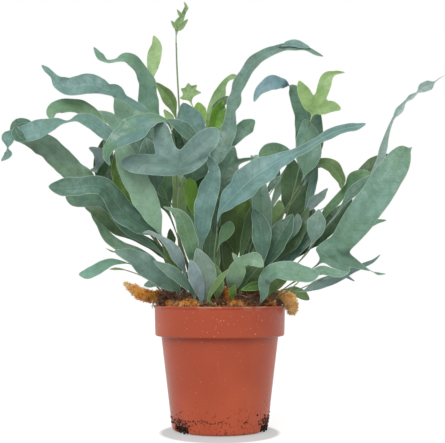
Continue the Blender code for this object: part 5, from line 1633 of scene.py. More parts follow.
CENTRE_FRONDS = [
    Frond("young_upright", Leaf.TENDER, FRONT, (-0.5, 3.6), [
        (-2.7, 3.9, 18), (-5.3, 4.6, 26.3), (-6.6, 5, 33.4, 0.2), (-6.6, 5, 34.6, 1.2),
        (-6.35, 5, 35.9, 1.35), (-6.25, 5, 36.8, 0.9), (-6.5, 5, 37.7)]),
    Frond("tall_fiddlehead", Leaf.SPROUT, FRONT, (-0.6, 1.2), [
        (-3.2, 1.4, 17.9), (-3.6, 1.6, 25.9), (-3.9, 1.6, 31), (-4.1, 1.6, 35.3),
        (-4.1, 1.6, 37, 0.2), (-3.9, 1.6, 37.8, 0.8), (-3.6, 1.6, 38.5, 0.5, 30),
        (-3.4, 1.6, 39, 0.4, 40), (-3.2, 1.6, 39.5, 0.3, 20),
        (-3.4, 1.6, 40)], fold=0.3, stout=1.5, lobes=[
        [(-3.9, 1.6, 37.4, 0.4), (-4.2, 1.5, 37.6, 0.5), (-4.6, 1.3, 38.1)],
        [(-3.9, 1.6, 37.3, 0.4), (-3.6, 1.5, 37.6, 0.6), (-3, 1.2, 38.2)],
        [(-3.6, 1.6, 38.5, 0.3), (-3.8, 1.5, 38.8, 0.35), (-4.05, 1.4, 39.2)],
        [(-3.4, 1.6, 39, 0.2), (-3.2, 1.5, 39.1, 0.25), (-2.95, 1.4, 39.4)]]),
    Frond("folded_green", Leaf.FOLDED, (-0.5, -1, 0.2), (-0.3, 2.3), [
        (-3.2, 2.6, 17.9), (-3.8, 3, 25.1), (-4.1, 3, 28.7), (-4.25, 3, 29.5, 0.35),
        (-4.45, 3, 30.4, 1), (-4.9, 3, 31.2, 1.25), (-5.5, 3, 31.9, 0.8),
        (-6.15, 3, 32.6)], fold=0.55),
    LobedFrond("small_star", Leaf.TENDER, FRONT, (0.4, 1.9), [
        (-1.4, 2.4, 17.9), (-1.6, 2.9, 26.1), (-2.2, 2.9, 29.4), (-2.8, 2.9, 30.8, 0.25),
        (-3, 2.7, 31.6, 0.8), (-3, 2.6, 32.4)], lobes=[
        [(-2.85, 2.8, 31.2, 0.3), (-3.3, 2.7, 31.1, 0.5), (-3.8, 2.6, 31)],
        [(-2.9, 2.82, 31.35, 0.3), (-3.3, 2.7, 31.65, 0.5), (-3.7, 2.6, 31.9)],
        [(-2.95, 2.78, 31.3, 0.3), (-2.4, 2.7, 31.5, 0.5), (-1.8, 2.5, 31.5)],
        [(-2.95, 2.8, 31.45, 0.3), (-2.6, 2.7, 31.9, 0.5), (-2.2, 2.5, 32.2)]]),
    Frond("pale_green_curl", Leaf.SPRING, (-0.3, -1, 0.2), (0.6, 2.9), [
        (-0.7, 3.4, 18), (-0.6, 4.2, 24.8), (-0.8, 4.4, 26.8, 0.4), (-0.75, 4.6, 28.8, 1.3),
        (-0.5, 4.6, 30.4, 1.4), (0, 4.6, 31.7, 1.25), (0.35, 4.4, 32.7, 0.6, 20),
        (0.8, 4.2, 33.2, 0.5), (1.3, 4.1, 33.4, 0.6), (1.9, 4, 33.1)]),
    Frond("tall_right_arch", Leaf.SPOTTED, (-0.25, -1, 0.1), (0.9, 0.9), [
        (0, 1.2, 17.9), (-0.3, 1.6, 23.8, 0.5), (0.1, 1.8, 26.1, 1.9), (0.85, 2, 27.8, 1.5),
        (1, 2, 28.9, 1.2), (1.05, 2, 29.7, 0.95), (1.4, 2, 30.6, 1.45), (1.55, 2, 31.4, 1.05),
        (1.9, 1.9, 32.3, 1.25), (2.45, 1.8, 33.2, 1.2), (3.15, 1.5, 34.15, 1.25),
        (4.15, 1.2, 34.8, 1.1), (5.25, 0.8, 35.2, 0.8), (6.25, 0.4, 35.35, 0.75),
        (7.1, 0, 35.25, 0.7), (7.95, -0.4, 35, 0.45), (8.95, -0.6, 34.45, 0.35),
        (9.55, -0.6, 34.2)], lobes=[
        [(5.4, 0.7, 35.3, 0.2), (6.2, 0.2, 35.6, 0.5, 180), (6.9, -0.1, 35.6, 0.7, 180),
         (7.6, -0.4, 35.3, 0.6, 180), (8.3, -0.7, 35, 0, 180)]]),
    Frond("rounded_behind", Leaf.MINT, (0.2, -1, 0.3), (1.6, 2.4), [
        (0.3, 3.4, 22.3), (0.35, 3.6, 24.6), (0.6, 3.7, 26, 0.4), (1.15, 3.8, 27, 1.1),
        (1.95, 4, 27.9, 1.4), (2.75, 4, 28.6, 1.5), (3.4, 3.8, 29.1)]),
    Frond("broad_centre", Leaf.TEAL, (0.2, -1, 0.3), (0, 0.2), [
        (-1.2, 0.4, 18.7), (-1.3, 0.6, 22.9), (-1.5, 0.6, 24.8, 0.6), (-2, 0.5, 26.4, 2.3),
        (-2.6, 0.2, 27.8, 2.7), (-3.1, 0, 29, 2), (-3.4, -0.2, 30)]),
    LobedFrond("centre_trilobe", Leaf.BLUISH, (0.05, -1, 0.35), (-2.3, -3.1), [
        (-3.4, -3.9, 15.2), (-3.6, -5.4, 20.9), (-3.4, -6, 22.8, 0.3), (-3.9, -6.3, 23.8, 1.6),
        (-4.6, -6.3, 24.6, 1.75), (-4.85, -6.2, 25.4, 1.7), (-5, -6, 26.3, 1.4),
        (-5.4, -5.6, 27.6)], lobes=[
        [(-3.5, -6.1, 23.1, 0.8), (-4.7, -6.4, 23.3, 1.7), (-6.2, -6.5, 23.4, 1.75),
         (-7.3, -6.4, 23.5, 1.65), (-8.4, -6.2, 23.7)],
        [(-3.6, -6.1, 23.3, 0.8), (-2.7, -6.3, 24, 1.9), (-1.7, -6.3, 25, 2),
         (-0.9, -6.1, 25.8, 1.7), (-0.3, -5.8, 26.6)],
        [(-3.4, -6.1, 23, 0.6), (-2.7, -6.1, 23.3, 1.1), (-1.9, -6, 23.7, 0.9),
         (-1.1, -5.8, 24.1)]]),
    Frond("olive_inner", Leaf.SAGE, (0.4, -1, 0.1), (-0.9, -0.4), [
        (-3.6, -0.8, 16.8), (-3.7, -0.9, 18.2, 0.4), (-3.7, -1, 19.7, 1.2), (-3.6, -1, 21.5, 1.5),
        (-3.8, -0.9, 23.3, 1.2), (-4.2, -0.7, 24.9)]),
    Frond("front_left_curved", Leaf.FERN, FRONT, (-1.3, -4.1), [
        (-1.9, -4.9, 13.5, 0.2), (-2.1, -5.3, 14.9, 0.8), (-2.4, -5.7, 16.3, 1.3),
        (-2.8, -5.9, 17.6, 1.45), (-3.2, -5.9, 18.7, 1.3), (-3.55, -5.85, 19.3, 0.8),
        (-4.1, -5.7, 19.6, 0.4), (-4.9, -5.5, 19.9)]),
    Frond("front_centre_upright", Leaf.BLUE, FRONT, (-0.6, -3), [
        (-1.5, -3.6, 15.2), (-1.6, -4, 16.9, 0.4), (-1.5, -4.3, 18.1, 1.3), (-1.4, -4.5, 19.5, 1.7),
        (-1.1, -4.7, 20.9, 1.9), (-0.65, -4.8, 22.2, 1.5), (-0.5, -4.8, 23.1, 1),
        (-0.9, -4.7, 24, 0.6), (-1.3, -4.6, 24.6)]),
    Frond("long_blue_crossing", Leaf.SKY, (-0.35, -0.95, 0.35), (0.1, -3.5), [
        (-0.5, -4, 15.2), (-0.3, -4.4, 17.5), (0, -4.8, 19.4, 0.4), (0.8, -5.2, 20.4, 1.8),
        (1.8, -5.6, 21.4, 2.6), (2.9, -5.8, 22.4, 2.8), (4.1, -5.8, 23.2, 2.4),
        (5.2, -5.6, 23.9, 1.6), (6.2, -5.3, 24.4, 1.1), (7.2, -5, 24.9, 0.8, 20),
        (8.5, -4.6, 25.7, 0.8), (9.9, -4.2, 26.5, 1.05), (11.2, -3.8, 27, 0.9),
        (12.2, -3.5, 27.2, 0.7), (13, -3.3, 27.5)], ripple=0.8),
    LobedFrond("dark_centre", Leaf.SHADE, FRONT, (0.8, -0.2), [
        (0.2, -0.3, 17.3), (0.4, -0.3, 20.1, 0.4), (0.5, -0.3, 21.4, 1.8), (0.5, -0.2, 23, 2.5),
        (0.9, 0, 24.3, 1.5), (1.3, 0.2, 26)], lobes=[
        [(0.7, -0.1, 23.8, 0.6), (1.7, 0.1, 24.5, 0.5), (3.5, 0.4, 25)]]),
    Frond("dark_olive_centre", Leaf.MOSS, FRONT, (1.3, -0.7), [
        (1.5, -0.9, 16.2, 0.6), (1.5, -0.9, 17.5, 2.2), (1.5, -0.9, 19.1, 2.9),
        (1.8, -0.9, 20.4, 2.3), (2.2, -0.8, 21.8)]),
    Frond("slim_upright_right", Leaf.LIGHT, (0.2, -1, 0.1), (2.1, -1.6), [
        (3.8, -1.8, 15.2), (4, -1.9, 16.8, 0.4), (4.1, -2, 18.6, 1.1), (4.1, -2.1, 20.3, 1.1),
        (4, -2.1, 21.6, 0.7), (4, -2, 22.7)]),
    Frond("oval_dark", Leaf.DARK, FRONT, (1.9, -2.9), [
        (3.4, -3.2, 14), (3.7, -3.4, 15.1, 0.4), (3.7, -3.6, 16.2, 1.1), (3.7, -3.8, 17.5, 1.75),
        (3.5, -3.9, 18.6, 1.4), (3.15, -3.8, 19.4, 0.8), (3, -3.7, 19.9)]),
    Frond("folded_front", Leaf.WILLOW, FRONT, (1.2, -4), [
        (1.1, -4.6, 12.6, 0.4), (1.2, -5.4, 13.4, 1.3), (1.5, -6, 14.4, 1.5), (1.8, -6.3, 15.1, 1),
        (2.3, -6.5, 15.35, 0.9, 20), (2.9, -6.7, 15.3, 1.3, 10), (3.3, -6.8, 15, 0.9),
        (3.7, -6.9, 14.7)], lobes=[
        [(1.7, -6.2, 15, 0.3), (1.4, -6.3, 15.4, 0.5), (1.05, -6.3, 15.9)]]),
    Frond("front_grey_broad", Leaf.ASH, FRONT, (-1.1, -4.7), [
        (-1.2, -5.2, 12.1, 0.4), (-1.1, -5.7, 13, 1.3), (-1.2, -6, 14, 1.8), (-1.5, -6.1, 15, 1.6),
        (-1.8, -6.1, 15.8, 0.8), (-2, -6, 16.3)]),
]

RIGHT_FRONDS = [
    Frond("oval_dark_outer", Leaf.SHADE, (-0.4, -1, 0.15), (2.8, -2.3), [
        (3.6, -2.4, 13.9), (4, -2.5, 14.8, 0.4), (4.6, -2.6, 15.9, 1.3), (5.1, -2.7, 17, 1.9),
        (5.7, -2.7, 18.1, 1.9), (6.2, -2.7, 18.9, 1), (6.5, -2.6, 19.5)]),
    LobedFrond("broad_pale_right", Leaf.SEA, (-0.35, -1, 0.25), (3.7, -2.8), [
        (6.4, -2.5, 12.9), (8.3, -2.9, 14.7), (9.1, -3.4, 15.4, 0.5), (9.85, -3.8, 16.1, 1.6),
        (10.75, -4.3, 17, 2.15), (11.7, -4.8, 18.3, 2.7), (12.7, -5.3, 19.7, 2.8),
        (13.6, -5.6, 21, 2.8), (14.5, -5.8, 22.4, 2.6), (15.2, -5.8, 23.5, 2.4),
        (15.5, -5.7, 24.2, 1.8), (15.75, -5.6, 24.7, 0.9), (15.8, -5.6, 24.95)], lobes=[
        [(15.8, -5.7, 24.4, 0.3), (16.2, -5.6, 24.6, 0.3), (16.6, -5.5, 25.1)],
        [(10.3, -3.7, 17.1, 0.5), (9.6, -3.6, 16.6, 1.1), (9, -3.5, 16.35, 0.8),
         (8.55, -3.4, 16.3)],
        [(8.75, -3.5, 16.25, 0.4), (9.25, -3.55, 15.85, 1), (9.9, -3.6, 15.4, 1.2),
         (10.5, -3.7, 14.95, 1), (11, -3.75, 14.6, 0.6), (11.35, -3.8, 14.35)],
        [(10, -3.8, 16.4, 0.8), (10.9, -3.7, 15.6, 1.2), (11.8, -3.7, 15.1, 0.8),
         (12.8, -3.7, 14.6, 0.3), (13.4, -3.7, 14.35, 0.05), (13.95, -3.7, 14.15, 0.25),
         (14.6, -3.7, 14.15)]]),
    Frond("grey_long_right", Leaf.DARK, LEANING, (3.7, 0.1), [
        (5.9, -0.6, 14.1), (7.7, -1.2, 15.8), (9, -1.5, 17.6), (9.75, -1.7, 18.6, 0.1),
        (10.5, -1.9, 19.5, 0.15), (11.15, -2.1, 20.5, 0.35), (11.85, -2.2, 21.4, 1),
        (12.65, -2.2, 22.1, 1.05), (13.5, -2.2, 22.8, 0.5), (14, -2.2, 23.2)], ripple=1.5),
    Frond("dark_long_right", Leaf.NIGHT, LEANING, (3.4, 0.7), [
        (5.2, 0.6, 14.5), (6.6, 0.5, 15.55, 0.35), (7.8, 0.4, 16.5, 0.9), (8.85, 0.2, 17.4, 1.45),
        (9.95, 0.1, 18.45, 1.7), (10.95, 0, 19.6, 1.5), (11.7, 0, 20.5, 0.9), (12.2, 0.1, 21.2)]),
    Frond("green_curl_right", Leaf.GREEN, LEANING, (3.9, 1.4), [
        (5.5, 1.6, 16.5), (8.3, 1.8, 18.3), (9.4, 1.9, 19.2, 0.4), (10.4, 1.9, 20.4, 0.9),
        (11.4, 1.9, 21.5, 0.9), (12.3, 1.8, 22.4, 1.1), (12.8, 1.6, 23.1, 1.5),
        (13.4, 1.3, 23.5, 1.1), (14.3, 1, 23.3)], fold=0.3),
    Frond("dark_back_right", Leaf.DEEP, LEANING, (3.6, 2.6), [
        (5.4, 3, 16.5), (9.4, 3.6, 20.2), (11.9, 3.8, 21.7, 0.4), (13.1, 3.9, 22.9, 1.1),
        (14, 4, 24, 1.4), (14.8, 4, 24.8, 1.4), (15.6, 4, 25.35, 1), (16.5, 4, 25.8)]),
    Frond("far_right_twisted", Leaf.MIST, FRONT, (4.5, 2), [
        (5.9, 2.2, 16), (10, 2.6, 19.2), (12.9, 2.8, 21.3, 0.3), (14.35, 2.8, 23.2, 0.6),
        (15.25, 2.8, 24.9, 0.75), (15.6, 2.7, 26.2, 0.75), (15.9, 2.6, 27.4, 0.45),
        (16.2, 2.5, 28.3, 0.3), (16.5, 2.4, 29, 0.25), (17.05, 2.3, 29.75, 0.7),
        (17.65, 2.2, 30.6, 0.25), (18.15, 2.1, 31, 0.5), (18.7, 2, 31.4, 0.2),
        (19.2, 1.9, 31.8, 0.95), (19.8, 1.8, 32.05, 1), (20.3, 1.7, 32.35, 0.15),
        (20.7, 1.65, 32.65, 0.08), (21.3, 1.6, 33)], ripple=0.5),
    Frond("drooping_arch_right", Leaf.FOLDED, (-0.3, -0.9, 0.4), (3, 1.7), [
        (4.5, 1.9, 17.4), (7.6, 1.9, 22.1), (8.7, 1.8, 24.1, 0.5), (9.6, 1.7, 24.6, 1.1),
        (10.5, 1.5, 24.3, 1.3), (11.1, 1.3, 23.5, 1.1), (11.4, 1.1, 22.8, 0.75),
        (11.3, 0.9, 22.1)], fold=0.25),
    Frond("tall_right_drooping_tip", Leaf.TWO_TONE, (0, 1, -0.2), (2.3, 0.7), [
        (4.1, 0.7, 17.4), (6.9, 0.5, 21.1), (8.1, 0.3, 23.2, 0.5), (8.2, 0.2, 24.3, 1.9),
        (8.2, 0.1, 25.6, 2.4), (8.3, 0, 27.2, 2.7), (8.1, 0, 28.8, 2.5), (7.5, 0, 30.1, 1.8),
        (7, 0, 31, 1.3), (6.6, -0.1, 31.5, 0.95, 30), (6.1, -0.2, 31.7, 0.8, 110),
        (5.6, -0.4, 31.75, 1.1, 180), (4.9, -0.6, 31.75, 1.45, 180), (4.2, -0.8, 31.4, 1.2, 180),
        (3.6, -0.9, 30.9, 0.8, 180), (3.1, -1, 29.9, 0, 180)], fold=0.1),
    LobedFrond("young_trilobe_right", Leaf.YOUNG, FRONT, (2.6, -0.9), [
        (4.7, -1.3, 15.9), (6.3, -1.8, 20.4), (7.4, -2.4, 24.8), (8.3, -2.8, 28.4, 0.2),
        (8.7, -3, 29.3, 1), (9.1, -3, 30.2, 1.1), (9.35, -3, 31, 1.2), (9.6, -3, 31.7, 1),
        (10.2, -3, 32.05, 0.4), (11.2, -3, 32.15)], lobes=[
        [(8.4, -2.9, 28.8, 0.4), (8, -3, 29.3, 1.2), (7.65, -3, 30.1, 1.2), (7.3, -3, 30.8, 0.8),
         (7.1, -2.9, 31.4)],
        [(8.5, -2.9, 28.8, 0.4), (9.2, -3, 28.9, 1.1), (10, -3, 29.1, 1), (10.8, -2.9, 28.9)]]),
    Frond("front_right_bent", Leaf.SEA, (0, -0.9, 0.45), (3.2, -4.1), [
        (3.8, -5.2, 12.5, 0.7), (3.8, -5.6, 13.1, 0.9), (3.9, -6.1, 13.7, 1.2),
        (4.7, -6.6, 14.3, 1.6), (5.8, -7, 14.3, 1.8), (6.8, -7.2, 14.1, 1.7), (7.7, -7.2, 14, 1.2),
        (8.4, -7.1, 14.2)]),
    Frond("slim_low_right", Leaf.SLATE, (0, -1, 0.3), (4.7, 0.4), [
        (6.3, 0.3, 12.5), (7.7, 0.2, 12.6, 0.2), (8.8, 0.2, 13.1, 0.9), (9.9, 0.2, 13.5, 1),
        (11.1, 0.3, 13.9, 0.8), (12.2, 0.4, 14.5, 0.6), (13.3, 0.5, 15, 0.45),
        (14.2, 0.6, 15.4, 0.3), (14.9, 0.7, 16)], ripple=0.6),
]

REAR_FRONDS = [
    Frond("back_arch_left", Leaf.GREY, BACK, (-2.5, 3.6), [
        (-4.5, 5.5, 19), (-6.5, 8, 24, 0.4), (-8, 10, 26.5, 1.8), (-9.5, 12, 27.4, 2.2),
        (-10.8, 13.8, 27, 1.6), (-11.6, 15, 25.6)]),
    Frond("back_arch_centre_left", Leaf.BLUE, BACK, (-1.4, 4.2), [
        (-2.2, 6, 20), (-3, 8.5, 25.5, 0.4), (-3.5, 11, 28, 2), (-4, 13.5, 28.5, 2.3),
        (-4.4, 16, 27, 1.7), (-4.6, 17.6, 25)]),
    Frond("back_arch_centre", Leaf.DARK, BACK, (0.2, 4.6), [
        (0.3, 6.5, 19), (0.4, 9, 23.5, 0.4), (0.5, 11.5, 25.5, 1.9), (0.6, 14, 25.5, 2.1),
        (0.7, 16, 24, 1.5), (0.8, 17.3, 22)]),
    Frond("back_arch_right", Leaf.BLUE, BACK, (1.8, 4.3), [
        (2.6, 6.3, 19.5), (3.4, 8.8, 24, 0.4), (4.2, 11, 26.3, 2), (5, 13.2, 26.8, 2.2),
        (5.8, 15.2, 25.6, 1.6), (6.4, 16.6, 23.6)]),
    Frond("back_low_left", Leaf.DARK, BACK, (-3.4, 3), [
        (-5, 5, 16.5), (-6.4, 7, 19, 0.4), (-7.6, 9, 20.5, 1.6), (-8.6, 11, 20.6, 1.7),
        (-9.3, 12.8, 19.4)]),
    Frond("back_low_right", Leaf.GREY, BACK, (3.2, 3.4), [
        (5, 5.5, 16.5), (6.6, 7.5, 19.5, 0.4), (8, 9.5, 21, 1.6), (9.2, 11.3, 21, 1.7),
        (10, 12.8, 19.6)]),
    Frond("back_low_centre", Leaf.GREEN, BACK, (-0.8, 4.9), [
        (-1, 7, 15), (-1.2, 9, 17.3, 0.4), (-1.4, 11.5, 18.4, 1.7), (-1.6, 14, 17.8, 1.8),
        (-1.8, 16, 16)]),
    Frond("back_tall", Leaf.BLUE, BACK, (-0.2, 3), [
        (-0.4, 4.5, 19.5), (-0.6, 6.5, 25.2, 0.4), (-0.8, 8.5, 28.2, 1.7), (-1, 10.8, 29.3, 2),
        (-1.2, 13, 28.6, 1.5), (-1.3, 14.6, 27)]),
]

# Small leaves deep in the plant or low on it, which have no imported node of their own.
# The dark ones among them hold painted shade in their colour.
SMALL_FRONDS = [
    Frond("round_young", Leaf.LIME, FRONT, (0.2, 1), [
        (-1.1, 1.6, 17.9), (-1.3, 2, 25), (-1.5, 2, 28, 0.2), (-1.8, 2, 28.9, 1.1),
        (-1.95, 2, 29.8, 1.3), (-2.05, 2, 30.5)]),
    Frond("bright_inner", Leaf.BRIGHT, (0.3, -1, 0.1), (1, 3.6), [
        (-0.35, 3.8, 18), (-0.5, 3.7, 25), (-0.6, 3.6, 27.2, 0.4), (-0.5, 3.6, 28.3, 1.2),
        (-0.25, 3.6, 29.4, 1.5), (0.05, 3.6, 30.3, 1.1), (0.3, 3.6, 30.9)], fold=0.4),
    Frond("centre_back_leaf", Leaf.DARK, (-0.2, -1, 0.6), (-0.6, -0.5), [
        (-2, -0.6, 19.6), (-1.7, -0.9, 24.1), (-1.9, -1.2, 25.8, 0.4), (-2.9, -1.4, 27, 1.3),
        (-4, -1.6, 27.8, 1), (-5.4, -1.9, 28)]),
    Frond("blue_behind_arch", Leaf.MILKY, SKY, (-2.7, 2.6), [
        (-5.7, 3.2, 18), (-7.8, 4.4, 23.9), (-9, 4.9, 26.8, 0.3), (-10, 5.2, 28.6, 1.2),
        (-11, 5.4, 29.7, 1.2), (-12.2, 5.6, 30.3)]),
    Frond("bright_inner_left", Leaf.BRIGHT, (0.2, -1, 0.1), (0, -2.1), [
        (-1.9, -2.7, 17.2), (-2.2, -2.8, 19.3, 0.3), (-2.4, -2.9, 20.3, 1),
        (-2.55, -2.9, 21.4, 1.25), (-2.6, -2.9, 22.2, 1), (-2.7, -2.9, 22.7)]),
    Frond("dark_mid_back", Leaf.FERN, (-0.2, -1, 0.4), (1.9, 2.2), [
        (2.5, 2.6, 18), (5, 3, 22.2), (6.6, 3.2, 24.6, 0.4), (6.3, 3.1, 25.5, 1.4),
        (5.3, 2.9, 25.9, 1.9), (4.4, 2.7, 25.7, 1.6), (3.7, 2.5, 25.4)]),
    Frond("small_round_centre", Leaf.GREEN, (-0.2, -1, 0.2), (0.3, -2.1), [
        (-0.4, -2.3, 15.2), (0, -2.4, 16.9, 0.2), (0.4, -2.5, 17.6, 1.05), (0.75, -2.6, 18.25, 1.3),
        (0.95, -2.6, 18.9)]),
    Frond("small_oval_right", Leaf.GREY, (-0.2, -1, 0.2), (3.4, -1.9), [
        (5.8, -2.4, 13.9), (7.4, -3, 15.7), (8.2, -3.3, 17, 0.3), (8.4, -3.5, 17.8, 1.4),
        (8.6, -3.5, 18.7, 1.6), (8.7, -3.4, 19.4, 0.8), (8.8, -3.3, 19.9)]),
    Frond("small_blue_right", Leaf.LILAC, (-0.2, -1, 0.3), (3.1, 0.2), [
        (5.7, 0.2, 16.4), (7.8, 0.2, 19.6), (8.2, 0.2, 20.2, 0.5), (8.8, 0.2, 20.9, 1),
        (9.3, 0.1, 21.3, 0.9), (9.7, 0, 21.8, 0.4), (10, 0, 22.1)], ripple=2),
    Frond("dark_inner_right", Leaf.FOREST, (0.2, -1, 0.1), (2.6, 1.6), [
        (4.5, 1.8, 17), (6.6, 1.9, 19.1, 0.4), (6.9, 1.9, 20.5, 2.3), (6.9, 1.9, 22.1, 2.5),
        (6.8, 1.9, 23.6, 1.9), (6.9, 1.8, 25.1)]),
    Frond("dark_inner_right_2", Leaf.TEAL, (-0.2, -1, 0.1), (3, 0.8), [
        (5.2, 0.9, 16), (7.6, 1, 19.2), (8.1, 1, 20.6, 0.3), (8.5, 1, 21.9, 0.8),
        (8.8, 1, 23.1, 0.8), (9.1, 1, 24.4)]),
    Frond("grey_under_blue", Leaf.SHADE, (-0.4, -1, 0.2), (1.5, -1), [
        (2.6, -1.2, 16.8), (3.9, -1.3, 20.6), (4.4, -1.4, 21.7, 0.4), (4.9, -1.4, 22.4, 0.8),
        (5.6, -1.3, 23.1)]),
    Frond("small_bright_right", Leaf.SPROUT, (-0.2, -1, 0.2), (2.4, -0.1), [
        (4.2, -0.2, 16.8), (4.7, -0.3, 18.2, 0.4), (5.1, -0.3, 19.2, 1.3), (5.4, -0.3, 20.1, 1.2),
        (5.5, -0.3, 21)]),
    Frond("slim_centre_right", Leaf.FOREST, (0.3, -1, 0.1), (1.3, -2.1), [
        (1.6, -2.4, 14.5), (2, -2.5, 16.3, 0.5), (2.3, -2.6, 17.6, 0.8), (2.6, -2.6, 19, 0.8),
        (2.8, -2.5, 20.2)]),
    Frond("front_grey_small", Leaf.HAZE, (0.2, -1, 0.2), (-1.6, -4.8), [
        (-1.6, -5.6, 12, 0.4), (-1.8, -6.4, 13, 1), (-2.1, -7, 13.8, 1.2), (-2.3, -7.1, 14.7, 0.8),
        (-2.5, -7.1, 15.3)]),
    Frond("low_left_front", Leaf.GREY, (0.1, -0.9, 0.4), (-2.1, -4.5), [
        (-2.3, -5, 12.5, 0.4), (-2.8, -5.6, 13.1, 0.8), (-3.5, -6.2, 13.8, 1.1),
        (-4.3, -6.7, 14.4, 1), (-5, -7, 14.8, 0.6), (-5.6, -7.2, 15.2)]),
    Frond("curvy_lilac", Leaf.LILAC, (0.2, -1, 0.3), (-2.9, -3.9), [
        (-3.1, -4.6, 14.4, 0.3), (-3.4, -4.9, 15.1, 0.8), (-3.75, -5, 15.7, 1.05),
        (-4.1, -4.9, 16.3, 1), (-4.55, -4.7, 16.8, 0.75), (-5.1, -4.5, 17.25, 0.4),
        (-5.7, -4.3, 17.55, 0.35), (-6.3, -4.1, 17.8, 0.3), (-6.8, -4, 17.7)], ripple=1.6),
    Frond("narrow_front", Leaf.FOLDED, (-0.3, -1, 0.4), (0.1, -5), [
        (-0.9, -5.6, 11.9, 0.3), (-0.5, -6.4, 12.9, 0.5), (0.1, -6.9, 13.7, 0.6),
        (0.8, -7.1, 14.5)]),
    Frond("green_front_behind", Leaf.FOLDED, FRONT, (0.2, -4.3), [
        (-0.2, -4.7, 12, 0.3), (-0.2, -5.1, 12.9, 1), (-0.3, -5.2, 13.9, 1.1), (-0.6, -5.2, 15.1)]),
    Frond("tiny_front", Leaf.MOSS, FRONT, (1.2, -5.1), [
        (1.1, -5.4, 12, 0.2), (1.1, -5.9, 12.6, 0.7), (1.3, -6.1, 13.2)]),
    Frond("green_low_right", Leaf.SEA, SKY, (4, -3.2), [
        (5.6, -3.9, 12.8), (7, -4.5, 13.7), (8, -4.9, 14.2, 0.5), (8.8, -5.1, 14.4, 0.9),
        (9.7, -5.3, 14.2, 0.8), (10.4, -5.4, 14.1, 0.6), (11.1, -5.4, 14.2)]),
    Frond("small_olive_right", Leaf.FOLDED, (0, -0.9, 0.5), (4.6, 1.1), [
        (6.2, 1.1, 12.6, 0.5), (6.9, 1.2, 12.55, 1.1), (7.6, 1.5, 12.3, 1.1), (8.1, 1.6, 12, 0.7),
        (8.4, 1.7, 11.8)]),
    Frond("bright_low", Leaf.VIVID, (0, -0.9, 0.5), (3.4, -3.3), [
        (4.3, -4.2, 12.9, 0.4), (3.6, -4.6, 13.1, 0.8), (2.8, -5, 13, 0.8), (2.2, -5.2, 12.8, 0.4),
        (1.8, -5.3, 12.7)]),
    Frond("grey_behind_folded", Leaf.FOREST, (-0.2, -1, 0.3), (1.9, -3.9), [
        (1.8, -4.6, 12.7, 0.3), (2.1, -4.9, 13.7, 0.8), (2.7, -5.1, 14.5, 0.9), (3.6, -5.2, 15.1)]),
    Frond("behind_glossy", Leaf.SHADE, FRONT, (-1.6, 0.5), [
        (-3.5, 0.6, 17.5), (-5.4, 0.8, 22.5), (-6.2, 0.8, 24.2, 0.3), (-7, 0.8, 25.3, 1.8),
        (-7.8, 0.8, 26.3, 2), (-8.4, 0.8, 27.2, 1.1), (-8.9, 0.8, 27.9)]),
    Frond("teal_behind_glossy", Leaf.DARK, FRONT, (-1.2, 1.6), [
        (-3.6, 1.8, 19), (-5.4, 2, 24), (-5.8, 2, 25.2, 0.3), (-6.3, 2, 26.5, 1.8),
        (-6.6, 2, 27.8, 1.6), (-7, 2, 29)]),
    Frond("olive_behind_trilobe", Leaf.NIGHT, FRONT, (-0.9, 1), [
        (-2.8, 1, 19), (-3.7, 1, 24, 0.3), (-4, 1, 25.6, 1.3), (-4, 1, 26.8, 1.3),
        (-4.3, 1, 27.9)]),
    Frond("dark_behind_trilobe", Leaf.DEEP, FRONT, (-0.5, 1.9), [
        (-2, 1.9, 19), (-3, 1.9, 24, 0.4), (-3.2, 1.9, 25.8, 1.9), (-3.4, 1.9, 27.2, 2),
        (-4, 1.9, 28.6)]),
    Frond("under_right_lobe", Leaf.SHADE, (0.1, -1, 0.3), (-0.9, -1.9), [
        (-1.6, -2.2, 18), (-2.4, -2.4, 21), (-2.5, -2.5, 22.3, 0.4), (-2.4, -2.6, 23.2, 2.3),
        (-2, -2.6, 24.2, 2.5), (-1.5, -2.6, 25.1, 1.3), (-1.2, -2.6, 25.8)]),
    Frond("dark_mid_left_inner", Leaf.FERN, FRONT, (-1.9, 0.2), [
        (-3.2, 0.3, 16.8), (-4.2, 0.4, 19.4), (-4.7, 0.5, 20.4, 0.3), (-5, 0.5, 21.6, 1.5),
        (-4.9, 0.5, 22.8, 1.8), (-4.8, 0.5, 24.2)]),
    Frond("moss_left_small", Leaf.FERN, FRONT, (-2.2, -0.6), [
        (-3.8, -0.6, 17.4), (-4.8, -0.6, 19.9, 0.3), (-5.2, -0.6, 20.7, 0.9),
        (-5.4, -0.6, 21.5, 0.9), (-5.6, -0.6, 22.4)]),
    Frond("deep_behind_curved", Leaf.FERN, FRONT, (-1, -2.3), [
        (-1.8, -2.3, 15.6, 0.5), (-2.4, -2.2, 17.4, 1.4), (-2.5, -2.1, 19.2, 1.3), (-2.8, -2, 21)]),
    Frond("deep_centre_low", Leaf.FERN, FRONT, (-0.5, -1.6), [
        (-0.7, -1.6, 14, 0.9), (-0.9, -1.6, 15.5, 1.9), (-0.9, -1.5, 17.2, 1.7), (-0.7, -1.4, 19)]),
    Frond("deep_centre_back", Leaf.OLIVE, FRONT, (0.5, 0.5), [
        (0.6, 0.4, 14.2, 1), (0.6, 0.4, 16, 2.2), (0.5, 0.4, 18, 2.2), (0.2, 0.4, 20.4)]),
    Frond("forest_low_left", Leaf.FOREST, SKY, (-3.7, 0.2), [
        (-4.7, 0.2, 15.4, 0.4), (-5.5, 0.2, 16.3, 0.9), (-6.4, 0.2, 16.9, 1),
        (-7.5, 0.2, 17.5, 0.9), (-8.5, 0.2, 17.95, 1.15), (-9.4, 0.2, 18.4, 1.4),
        (-10.4, 0.2, 19.15, 1.5), (-11.4, 0.2, 20, 1.2), (-12.5, 0.2, 20.4)]),
    Frond("deep_gap_left", Leaf.DEEP, FRONT, (-2.6, 0.4), [
